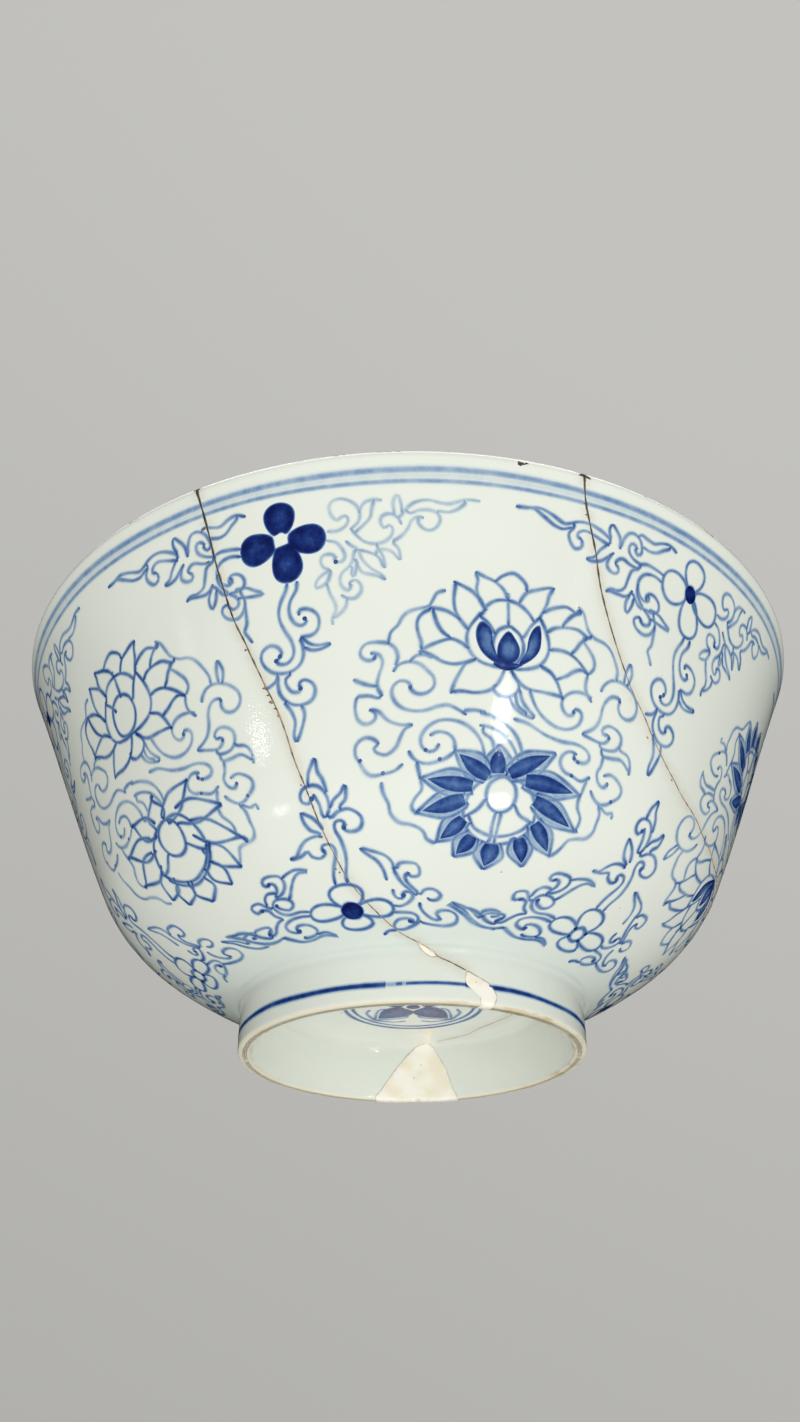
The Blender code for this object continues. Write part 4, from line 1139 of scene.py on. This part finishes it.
def build_body():
    """The bowl's body: the half section swung round Z, its two poles closed by fans, and the lip's chips."""
    rows, turns = body_grid(bpy.context.scene.bowl_sizes)
    azimuth, length = np.meshgrid(turns, rows)
    points, _ = skin_at(azimuth, length, np.zeros_like(length))
    count, wide = azimuth.shape
    points = points.reshape(-1, 3)
    points, chipped = scooped(points)
    poles = np.array([[0.0, 0.0, BASE_HEIGHT], [0.0, 0.0, FLOOR_TOP]])
    index = np.arange(count * wide).reshape(count, wide)
    beside = np.roll(index, -1, axis=1)
    quads = np.stack([index[:-1], beside[:-1], beside[1:], index[1:]], axis=-1).reshape(-1, 4)
    low_pole, high_pole = count * wide, count * wide + 1
    fans = np.vstack([
        np.stack([np.full(wide, low_pole), beside[0], index[0]], axis=-1),
        np.stack([np.full(wide, high_pole), index[-1], beside[-1]], axis=-1),
    ])
    across = np.append(turns, turns[0] + 2 * math.pi)
    across = (across - across[0]) / (2 * math.pi)
    up = (rows - rows[0]) / (rows[-1] - rows[0])
    left, right = np.meshgrid(across[:-1], up[:-1])[0], np.meshgrid(across[1:], up[:-1])[0]
    low, high = np.meshgrid(across[:-1], up[:-1])[1], np.meshgrid(across[:-1], up[1:])[1]
    quad_uv = np.stack([left, low, right, low, right, high, left, high], axis=-1).reshape(-1, 2)
    middle = (across[:-1] + across[1:]) / 2
    foot, head = 0 * middle, 0 * middle + 1
    fan_uv = np.vstack([
        np.stack([middle, foot - 0.01, across[1:], foot, across[:-1], foot], axis=-1).reshape(-1, 2),
        np.stack([middle, foot + 1.01, across[:-1], head, across[1:], head], axis=-1).reshape(-1, 2),
    ])
    uv = 0.015 + 0.97 * np.vstack([quad_uv, fan_uv])
    points = np.vstack([points, poles])
    obj = mesh_of("bowl_body", points, quads, uv=uv, ink=np.zeros(len(points)), triangles=fans)
    add_attribute(obj, "chip", np.append(chipped, [0.0, 0.0]))
    add_attribute(obj, "stain", stain_over(points))
    obj.data.materials.append(glaze_material())
    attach(obj, "root")
    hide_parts("bowl")


def patch(name, outline, placed, node):
    """A filled break: each point is the middle plus a share of the way to the ragged edge, raised by the
    filler's height and sunk under the glaze at the edge."""
    height = bpy.context.scene.bowl_sizes.filler_height
    outline = np.asarray(outline) * MM
    edge, _ = smooth_path(np.vstack([outline, outline[:1]]), 0.00035)
    edge = edge[:-1]
    middle = edge.mean(axis=0)
    turn = np.linspace(0.0, 2 * math.pi, len(edge), endpoint=False)
    ragged = 1 + 0.012 * np.sin(turn * 17) + 0.010 * np.sin(turn * 29 + 1.0) + 0.008 * np.sin(turn * 47 + 2.0)
    share = np.array([0.04, 0.15, 0.3, 0.45, 0.6, 0.72, 0.82, 0.9, 0.96, 1.0])
    flat = middle + share[:, None, None] * ((edge - middle) * ragged[:, None])[None, :, :]
    wave = 0.25 * np.sin(flat[..., 0] * 3100.0) * np.sin(flat[..., 1] * 2700.0)
    lift = height * (1 + wave) * (1 - share[:, None] ** 10) - 0.6 * height * (share[:, None] == 1.0)
    points, outward = placed(flat, lift)
    count, wide = flat.shape[:2]
    index = np.arange(count * wide).reshape(count, wide)
    beside = np.roll(index, -1, axis=1)
    clockwise = np.sum(edge[:, 0] * np.roll(edge[:, 1], -1) - edge[:, 1] * np.roll(edge[:, 0], -1)) < 0
    order = [index[:-1], index[1:], beside[1:], beside[:-1]]
    centre, _ = placed(middle[None, :], np.array([height]))
    fan = [np.full(wide, count * wide), index[0], beside[0]]
    if clockwise:
        order.reverse()
        fan.reverse()
    quads = np.stack(order, axis=-1).reshape(-1, 4)
    triangles = np.stack(fan, axis=-1)
    obj = mesh_of(name, np.vstack([points.reshape(-1, 3), centre]), quads, triangles=triangles)
    obj.data.materials.append(filler_material())
    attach(obj, "root")
    if node:
        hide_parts(node)


def as_lines(paths, width, ink):
    return [("line", width, ink, path) for path in paths]


def closed(outline):
    return [*outline, outline[0]]


def walked_through(path):
    """Points close together along a polyline."""
    path = np.asarray(path, float)
    steps = [np.linspace(a, b, 8, endpoint=False) for a, b in zip(path[:-1], path[1:])]
    return np.vstack([*steps, path[-1:]])


def joined(strokes, reach=1.0):
    """Lines carried on to the line ahead of them, where one lies within reach of an end."""
    trails = [walked_through(path) if form == "line" else np.zeros((0, 2)) for form, _, _, path in strokes]
    made = []
    for own, (form, half, ink, path) in enumerate(strokes):
        path = np.asarray(path, float)
        if form == "line" and not np.allclose(path[0], path[-1]):
            others = np.vstack(trails[:own] + trails[own + 1 :])
            for _ in range(2):
                path = path[::-1]
                away = others - path[-1]
                distance = np.linalg.norm(away, axis=1)
                ahead = away @ (path[-1] - path[-2])
                facing = ahead > 0.3 * distance * np.linalg.norm(path[-1] - path[-2])
                distance = np.where(facing, distance, 9.0)
                near = int(np.argmin(distance))
                if 0.15 < distance[near] < reach:
                    path = np.vstack([path, others[near]])
        made.append((form, half, ink, path))
    return made


def dots(places, radius, ink):
    """Round dabs."""
    return [("blob", 0.0, ink, oval(x, y, radius, radius)) for x, y in places]


def oval(across, up, half_across, half_up, lean=0.0):
    """A closed ellipse: the centre plus both half axes times the cosine and sine of the turn."""
    turn = np.linspace(0.0, 2 * math.pi, 17)
    return np.stack([across + half_across * np.cos(turn + lean), up + half_up * np.sin(turn + lean)], axis=-1)


def ball_petals(width, ink, filled, shift=0.0):
    """Pointed petals round the ball: an outline on both sides, and in it a leaf shaped wash and a darker
    core."""
    strokes = []
    for x0, y0, x1, y1, half in BALL_PETALS:
        base, tip = np.array([x0 + shift, y0]), np.array([x1 + shift, y1])
        along = (tip - base) / np.linalg.norm(tip - base)
        left = np.array([-along[1], along[0]])
        core = base + 0.86 * (tip - base)
        if filled:
            root = base - 0.15 * along
            strokes.append(("leaf", (half + 0.55) * MM, 0.36, [root, (base + tip) / 2, tip]))
            strokes.append(("leaf", 0.95 * half * MM, 0.84, [base, (base + core) / 2 + 0.15 * left, core]))
        for side in (-1.0, 1.0):
            bulge = base + 0.45 * (tip - base) + side * (half + 0.75) * left
            strokes.append(("line", width, ink, [base + side * half * left, bulge, tip]))
    return strokes


def roundel(kind, width, ink):
    """Strokes of a roundel: an open peony above, a ball shaped one below, scrolls round both."""
    petal_ink = ink * (1.08 if kind == "pale" else 0.92)
    strokes = as_lines(OPEN_PETALS, width, petal_ink) + as_lines(SCROLLS, width, ink * 0.77)
    strokes += dots(SCROLL_DOTS, 0.36, 0.66)
    if kind == "pale":
        strokes += as_lines(PALE_HEART + OPEN_BALL_LINES, width, petal_ink)
        return joined(strokes + ball_petals(width, petal_ink, False, 0.8))
    strokes += as_lines(BLUE_HEART, width, ink)
    strokes += [("wash", 0.0, 0.90, closed(outline)) for outline in BLUE_HEART_FILLS]
    strokes.append(("leaf", 0.7 * MM, 0.95, [(-2.2, 8.6), (-0.2, 8.1), (2.2, 8.5)]))
    strokes += as_lines(BALL_LINES, width, ink * 0.86) + ball_petals(width, ink * 0.92, True)
    strokes = joined(strokes)
    if kind == "turned":
        return [(form, half, dose, [(-x, -y) for x, y in path]) for form, half, dose, path in strokes]
    return strokes


def egg(petal, heart):
    """A petal's ellipse, wider away from the flower's middle, pulled in towards it, clear of its heart."""
    x, y, half_across, half_up = petal
    outline = oval(x, y, half_across, half_up)
    out = np.array([x - heart[0], y - heart[1]])
    reach = np.linalg.norm(out)
    out /= reach
    aside = np.array([-out[1], out[0]])
    from_middle = outline - np.array([x, y])
    along, across = from_middle @ out, from_middle @ aside
    across = across * (1 + 0.05 * along)
    along = np.where(along < 0, along * 1.26, along)
    away = np.array([x, y]) + along[:, None] * out + across[:, None] * aside - np.array(heart[:2])
    distance = np.linalg.norm(away, axis=1)
    return np.array(heart[:2]) + away * (np.maximum(distance, 1.05 * heart[2]) / distance)[:, None]


def upper_lines():
    """Lines of the sprig below the lip: its stem, then both branches."""
    return HIGH_STEM + off_photo(HIGH_LEFT_PIXELS + HIGH_RIGHT_PIXELS, HIGH_TRACED_AT, HIGH_SPRIG_LENGTH)


def lower_lines():
    """Lines of the sprig over the foot: its stem, then the branches on both sides. Also its dots."""
    traced = LOW_LEFT_PIXELS, LOW_RIGHT_PIXELS, LOW_DOT_PIXELS
    left, right, spots = (off_photo(pixels, LOW_TRACED_AT, LOW_SPRIG_LENGTH) for pixels in traced)
    return LOW_STEM + left + LOW_RIGHT_STALKS + right + LOW_RIGHT_TIPS, LOW_DOTS + spots[0]


def sprig(petals, heart, lines, spots, kind, width, ink):
    """Strokes of a sprig: solid blue petals round a white heart, with a fainter branch on its right, or
    outlined petals round a dark or a white heart."""
    faint = 0.60 if kind == "blue" else 0.92
    strokes = []
    for path in lines:
        share = faint if np.mean(path, axis=0)[0] > 5.5 else 0.98
        strokes.append(("line", width, ink * share, path))
    strokes = joined(strokes) + dots(spots, 0.40, 0.74)
    across, up, radius = heart
    for petal in petals:
        if kind == "blue":
            strokes.append(("blob", 0.0, 1.0, egg(petal, heart)))
        else:
            strokes.append(("line", width, ink * 1.05, egg(petal, heart)))
    if kind == "blue":
        return strokes
    if kind == "dark":
        return strokes + dots([(across, up)], radius * 1.15, 1.0)
    strokes.append(("line", width, ink, oval(across, up, 0.9 * radius, 0.9 * radius)))
    specks = [(across + side * radius, up + 0.8) for side in (-1, 1)]
    specks += [(across + side * 0.9 * radius, up - 0.9) for side in (-1, 1)]
    return strokes + dots(specks, 0.42, 0.95)


def hand_drawn(strokes, number):
    """Each copy a little different: every point is moved by slow sine waves of its place."""
    if number == 1:
        return strokes
    drawn = []
    for form, half, dose, path in strokes:
        flat = np.asarray(path, float)
        x, y = flat[:, 0], flat[:, 1]
        moved = np.stack([
            x + 0.35 * np.sin(0.21 * y + number) + 0.2 * np.sin(0.5 * x + 2.0 * number),
            y + 0.35 * np.sin(0.23 * x + 1.7 * number) + 0.2 * np.sin(0.45 * y + number),
        ], axis=-1)
        drawn.append((form, half, dose, moved))
    return drawn


def glint(name, azimuth, length, distance, size, power):
    """A soft box whose reflection the camera sees at a place on the wall: it stands off that place along the
    line of sight mirrored in the wall."""
    place, outward = skin_at(np.radians([azimuth]), np.array([length * MM]), np.zeros(1))
    place, outward = place[0], outward[0]
    sight = place - np.array(bpy.context.scene.bowl_studio.position)
    sight /= np.linalg.norm(sight)
    mirrored = sight - 2 * (sight @ outward) * outward
    soft_box(name, place + distance * mirrored, place, size, power)


def soft_box(name, stands, faces, size, power, mirrored=True):
    light = bpy.data.lights.new(name, "AREA")
    light.shape = "RECTANGLE"
    light.size, light.size_y = size
    light.energy = power
    obj = bpy.data.objects.new(name, light)
    obj.location = Vector(stands)
    obj.rotation_mode = "QUATERNION"
    obj.rotation_quaternion = (Vector(faces) - Vector(stands)).to_track_quat("-Z", "Y")
    obj.visible_glossy = mirrored
    bpy.context.scene.collection.objects.link(obj)


def add_camera(studio):
    right, up, ahead = camera_axes(studio.turn)
    data = bpy.data.cameras.new("photo_camera")
    data.lens = studio.lens
    data.clip_start = 0.01
    camera = bpy.data.objects.new("photo_camera", data)
    axes = Matrix((right, up, -ahead)).transposed().to_4x4()
    camera.matrix_world = Matrix.Translation(Vector(studio.position)) @ axes
    bpy.context.scene.collection.objects.link(camera)
    bpy.context.scene.camera = camera


def add_floor():
    """A pale floor that only a camera above it sees, so that the bowl can be looked at from below."""
    mesh = bpy.data.meshes.new("pale_floor")
    size = 3.0
    corners = [(-size, -size, 0), (size, -size, 0), (size, size, 0), (-size, size, 0)]
    mesh.from_pydata(corners, [], [(0, 1, 2, 3)])
    floor = bpy.data.objects.new("pale_floor", mesh)
    bpy.context.scene.collection.objects.link(floor)
    graph = Graph("floor_paper")
    tone = graph.mix(graph.noise(6.0, 3.0), (0.40, 0.395, 0.385), (0.43, 0.425, 0.415))
    graph.finish(Base_Color=tone, Roughness=0.9, Emission_Color=tone, Emission_Strength=0.62)
    ray = graph.node("ShaderNodeLightPath")
    face = graph.node("ShaderNodeNewGeometry")
    shown = Number(graph, ray.outputs["Is Camera Ray"]) * (1 - Number(graph, face.outputs["Backfacing"]))
    clear = graph.node("ShaderNodeBsdfTransparent")
    both = graph.node("ShaderNodeMixShader", None, {0: shown})
    output = graph.tree.nodes["Material Output"]
    graph.tree.links.new(clear.outputs[0], both.inputs[1])
    graph.tree.links.new(graph.shader.outputs[0], both.inputs[2])
    graph.tree.links.new(both.outputs[0], output.inputs["Surface"])
    mesh.materials.append(graph.material)


BRIGHT_SIDE = (0.08, -0.80, -0.60)
DUSKY_SIDE = (0.15, 0.0, 0.33)
MIRRORED_SHARE = 0.15


def add_room(studio):
    """Soft light from all round, brightest towards the bright side, and for the camera a pale backdrop with
    slow shadows."""
    world = bpy.data.worlds.new("room")
    bpy.context.scene.world = world
    world.use_nodes = True
    nodes, links = world.node_tree.nodes, world.node_tree.links
    seen = nodes["Background"]
    seen.inputs["Color"].default_value = (*studio.backdrop, 1.0)
    lit = nodes.new("ShaderNodeBackground")
    lit.inputs["Color"].default_value = (1.0, 0.99, 0.97, 1.0)
    compass = nodes.new("ShaderNodeTexCoord").outputs["Generated"]
    towards = nodes.new("ShaderNodeVectorMath")
    towards.operation = "DOT_PRODUCT"
    towards.inputs[1].default_value = BRIGHT_SIDE
    links.new(compass, towards.inputs[0])
    level = nodes.new("ShaderNodeMapRange")
    brightest = 2.5 * studio.room
    for key, value in (("From Min", -0.22), ("From Max", 1.0), ("To Min", 0.03), ("To Max", brightest)):
        level.inputs[key].default_value = value
    links.new(towards.outputs["Value"], level.inputs["Value"])
    ray = nodes.new("ShaderNodeLightPath")
    kept = nodes.new("ShaderNodeMapRange")
    kept.inputs["To Min"].default_value = 1.0
    kept.inputs["To Max"].default_value = MIRRORED_SHARE
    links.new(ray.outputs["Is Glossy Ray"], kept.inputs["Value"])
    strength = nodes.new("ShaderNodeMath")
    strength.operation = "MULTIPLY"
    links.new(level.outputs["Result"], strength.inputs[0])
    links.new(kept.outputs["Result"], strength.inputs[1])
    links.new(strength.outputs["Value"], lit.inputs["Strength"])
    dusk = nodes.new("ShaderNodeVectorMath")
    dusk.operation = "DOT_PRODUCT"
    dusk.inputs[1].default_value = DUSKY_SIDE
    links.new(compass, dusk.inputs[0])
    tone = nodes.new("ShaderNodeMapRange")
    for key, value in (("From Min", -0.05), ("From Max", 0.28), ("To Min", 0.82), ("To Max", 1.03)):
        tone.inputs[key].default_value = value
    links.new(dusk.outputs["Value"], tone.inputs["Value"])
    links.new(tone.outputs["Result"], seen.inputs["Strength"])
    both = nodes.new("ShaderNodeMixShader")
    links.new(ray.outputs["Is Camera Ray"], both.inputs[0])
    links.new(lit.outputs[0], both.inputs[1])
    links.new(seen.outputs[0], both.inputs[2])
    links.new(both.outputs[0], nodes["World Output"].inputs["Surface"])


class BOWL_OT_stage(bpy.types.Operator):
    """Add the camera, the floor, the backdrop and the soft lights"""

    bl_idname = "bowl.stage"
    bl_label = "Stage"

    def execute(self, context):
        studio = context.scene.bowl_studio
        context.scene.view_settings.view_transform = "Standard"
        add_camera(studio)
        add_floor()
        add_room(studio)
        glint("front_strip", 13.7, 38.5, 1.1, (0.035, 0.085), 0.50)
        glint("low_disc", 14.5, 26.0, 0.9, (0.055, 0.05), 0.7)
        glint("right_spark", 23.1, 64.0, 1.3, (0.015, 0.015), 0.010)
        glint("left_high", -31.6, 55.6, 1.2, (0.04, 0.02), 0.018)
        glint("left_middle", -22.5, 37.0, 1.2, (0.05, 0.06), 0.14)
        glint("left_low", -21.3, 26.0, 1.0, (0.05, 0.05), 0.10)
        soft_box("overhead", (0.0, 0.10, 1.0), (0.0, 0.0, 0.04), (1.2, 1.2), 9.0)
        soft_box("back_fill", (0.3, 1.2, 0.35), (0.0, 0.0, 0.04), (1.0, 1.0), 8.0, mirrored=False)
        return {"FINISHED"}


class BOWL_OT_body(bpy.types.Operator):
    """Add the glazed body with its foot ring and chipped lip"""

    bl_idname = "bowl.body"
    bl_label = "Body"

    def execute(self, context):
        build_body()
        return {"FINISHED"}


class BOWL_OT_fills(bpy.types.Operator):
    """Add the filled breaks in the foot ring and under the base"""

    bl_idname = "bowl.fills"
    bl_label = "Filled breaks"

    def execute(self, context):
        patch("flake_fill_sanded", FLAKE, by_azimuth, "flake_fill")
        patch("near_foot_fill_sanded", NEAR_FILL, by_azimuth, "near_foot_fill")
        patch("far_foot_fill_sanded", FAR_FILL, by_azimuth, "far_foot_fill")
        patch("base_fill_sanded", BASE_FILL, on_base, "base_fill")
        return {"FINISHED"}


class BOWL_OT_roundels(bpy.types.Operator):
    """Paint the six roundels of peony heads and scrolls"""

    bl_idname = "bowl.roundels"
    bl_label = "Roundels"

    def execute(self, context):
        colours = context.scene.bowl_colours
        for number, (azimuth, kind) in enumerate(ROUNDELS):
            strokes = hand_drawn(roundel(kind, colours.line_width, colours.line), number)
            painted(f"roundel_{number + 1}", strokes, around(azimuth, ROUNDEL_LENGTH))
        return {"FINISHED"}


class BOWL_OT_sprigs(bpy.types.Operator):
    """Paint the twelve sprigs below the lip and over the foot"""

    bl_idname = "bowl.sprigs"
    bl_label = "Sprigs"

    def execute(self, context):
        colours = context.scene.bowl_colours
        width, ink = colours.line_width, colours.line
        high_lines, (low_lines, low_dots) = upper_lines(), lower_lines()
        for number, (azimuth, kind) in enumerate(HIGH_SPRIGS):
            strokes = sprig(HIGH_PETALS, HIGH_HEART, high_lines, HIGH_DOTS, kind, width, 0.93 * ink)
            placed = around(azimuth, HIGH_SPRIG_LENGTH)
            painted(f"upper_sprig_{number + 1}", hand_drawn(strokes, number), placed)
        for number, (azimuth, kind) in enumerate(LOW_SPRIGS):
            strokes = sprig(LOW_PETALS, LOW_HEART, low_lines, low_dots, kind, width, ink)
            placed = around(azimuth, LOW_SPRIG_LENGTH)
            painted(f"lower_sprig_{number + 1}", hand_drawn(strokes, number), placed)
        return {"FINISHED"}


def band(length, half, ink, first=-180.0, last=180.0):
    """A line round the bowl at a length, its height wavering by a slow sine wave as a hand's would."""
    azimuth = np.linspace(first, last, 120)
    waver = 0.10 * np.sin(np.radians(azimuth) * 5 + length) + 0.05 * np.sin(np.radians(azimuth) * 13)
    return ("band", half * MM, ink, np.stack([azimuth, length + waver], axis=-1))


class BOWL_OT_bands(bpy.types.Operator):
    """Paint the lines round the lip, the foot ring and the base, and the four leaves under the base"""

    bl_idname = "bowl.bands"
    bl_label = "Bands and base mark"

    def execute(self, context):
        colours = context.scene.bowl_colours
        painted("rim_bands", [band(*row) for row in RIM_BANDS], by_azimuth)
        painted("foot_band", [band(*row) for row in FOOT_BANDS], by_azimuth)
        strokes = [("line", half * MM, ink, oval(0.0, 0.0, r, r, lean=0.5)) for r, half, ink in BASE_RINGS]
        for number in range(BASE_LEAVES):
            turn = 2 * math.pi * number / BASE_LEAVES + math.pi / 4
            along = np.array([math.cos(turn), math.sin(turn)])
            left = np.array([-along[1], along[0]])
            strokes.append(("leaf", 2.6 * MM, 0.92, [1.6 * along, 5.0 * along, 9.0 * along]))
            for side in (-1.0, 1.0):
                arc = [2.4 * along, 5.2 * along + side * 3.2 * left, 10.2 * along]
                strokes.append(("line", colours.line_width, colours.line, arc))
                curl = [10.2 * along, 8.6 * along + side * 3.4 * left, 6.6 * along + side * 4.6 * left]
                strokes.append(("line", colours.line_width, colours.line, curl))
        strokes += dots([(0.0, 0.0)], 1.2, 0.9)
        strokes = [(form, half, dose, np.asarray(path) + MARK_MIDDLE) for form, half, dose, path in strokes]
        painted("base_mark", strokes, on_base)
        return {"FINISHED"}


def ragged_pit(azimuth, length, radius):
    """A pit's outline: a circle whose radius wavers with its turn, flattened into degrees and length."""
    turn = np.linspace(0.0, 2 * math.pi, 17)
    reach = radius * (1 + 0.22 * np.sin(3 * turn + azimuth) + 0.14 * np.sin(5 * turn + length))
    reach[-1] = reach[0]
    degrees = math.degrees(reach.max() / (RIM_RADIUS / MM)) * reach / reach.max()
    return np.stack([azimuth + 1.4 * degrees * np.cos(turn), length + 0.8 * reach * np.sin(turn)], axis=-1)


def add_dirt(name, points, quads, ink):
    obj = mesh_of(name, points, quads, ink=ink)
    obj.data.materials.append(crack_material())
    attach(obj, "root")


class BOWL_OT_cracks(bpy.types.Operator):
    """Draw the dark cracks down the wall, over the lip, down the inside and across the base"""

    bl_idname = "bowl.cracks"
    bl_label = "Cracks"

    def execute(self, context):
        sizes = context.scene.bowl_sizes
        for name, paths, placed, share, dirt in (
            ("left_crack", [LEFT_CRACK, inside_of(LEFT_CRACK)], by_azimuth, 0.62, 1.0),
            ("right_crack", [RIGHT_CRACK, inside_of(RIGHT_CRACK)], by_azimuth, 0.56, 0.92),
            ("base_crack", [BASE_CRACK], on_base, 0.40, 0.60),
            ("filler_seams", [closed(FLAKE), closed(NEAR_FILL), closed(FAR_FILL)], by_azimuth, 0.40, 0.42),
        ):
            strokes = [("hair", share * sizes.crack_width, dirt, path) for path in paths]
            raised = sizes.paint_height * 2.2
            points, _, ink, _, quads = brushed(strokes, placed, 0.0004, raised)
            add_dirt(name, points, quads, ink)
        pits = [("blob", 0.0, 1.0, ragged_pit(*row)) for row in LIP_PITS]
        pits += [("blob", 0.0, 0.62, ragged_pit(*row)) for row in CRACK_PITS]
        points, _, ink, _, quads = brushed(pits, by_azimuth, 0.0001, sizes.paint_height)
        add_dirt("lip_pits", points, quads, ink)
        return {"FINISHED"}


STEPS = (
    BOWL_OT_stage, BOWL_OT_body, BOWL_OT_fills, BOWL_OT_roundels, BOWL_OT_sprigs, BOWL_OT_bands,
    BOWL_OT_cracks,
)


class BOWL_PT_panel(bpy.types.Panel):
    bl_label = "Cracked bowl"
    bl_idname = "BOWL_PT_panel"
    bl_space_type = "VIEW_3D"
    bl_region_type = "UI"
    bl_category = "Bowl"

    def draw(self, context):
        for settings in (context.scene.bowl_sizes, context.scene.bowl_colours, context.scene.bowl_studio):
            box = self.layout.box()
            for key in type(settings).__annotations__:
                box.prop(settings, key)
        for step in STEPS:
            self.layout.operator(step.bl_idname)


CLASSES = (BowlSizes, BowlColours, BowlStudio, *STEPS, BOWL_PT_panel)


def register():
    for made in CLASSES:
        bpy.utils.register_class(made)
    bpy.types.Scene.bowl_sizes = bpy.props.PointerProperty(type=BowlSizes)
    bpy.types.Scene.bowl_colours = bpy.props.PointerProperty(type=BowlColours)
    bpy.types.Scene.bowl_studio = bpy.props.PointerProperty(type=BowlStudio)


def unregister():
    del bpy.types.Scene.bowl_studio
    del bpy.types.Scene.bowl_colours
    del bpy.types.Scene.bowl_sizes
    for made in reversed(CLASSES):
        bpy.utils.unregister_class(made)


def main():
    register()
    bpy.ops.bowl.stage()
    bpy.ops.bowl.body()
    bpy.ops.bowl.fills()
    bpy.ops.bowl.roundels()
    bpy.ops.bowl.sprigs()
    bpy.ops.bowl.bands()
    bpy.ops.bowl.cracks()


if __name__ == "__main__":
    main()
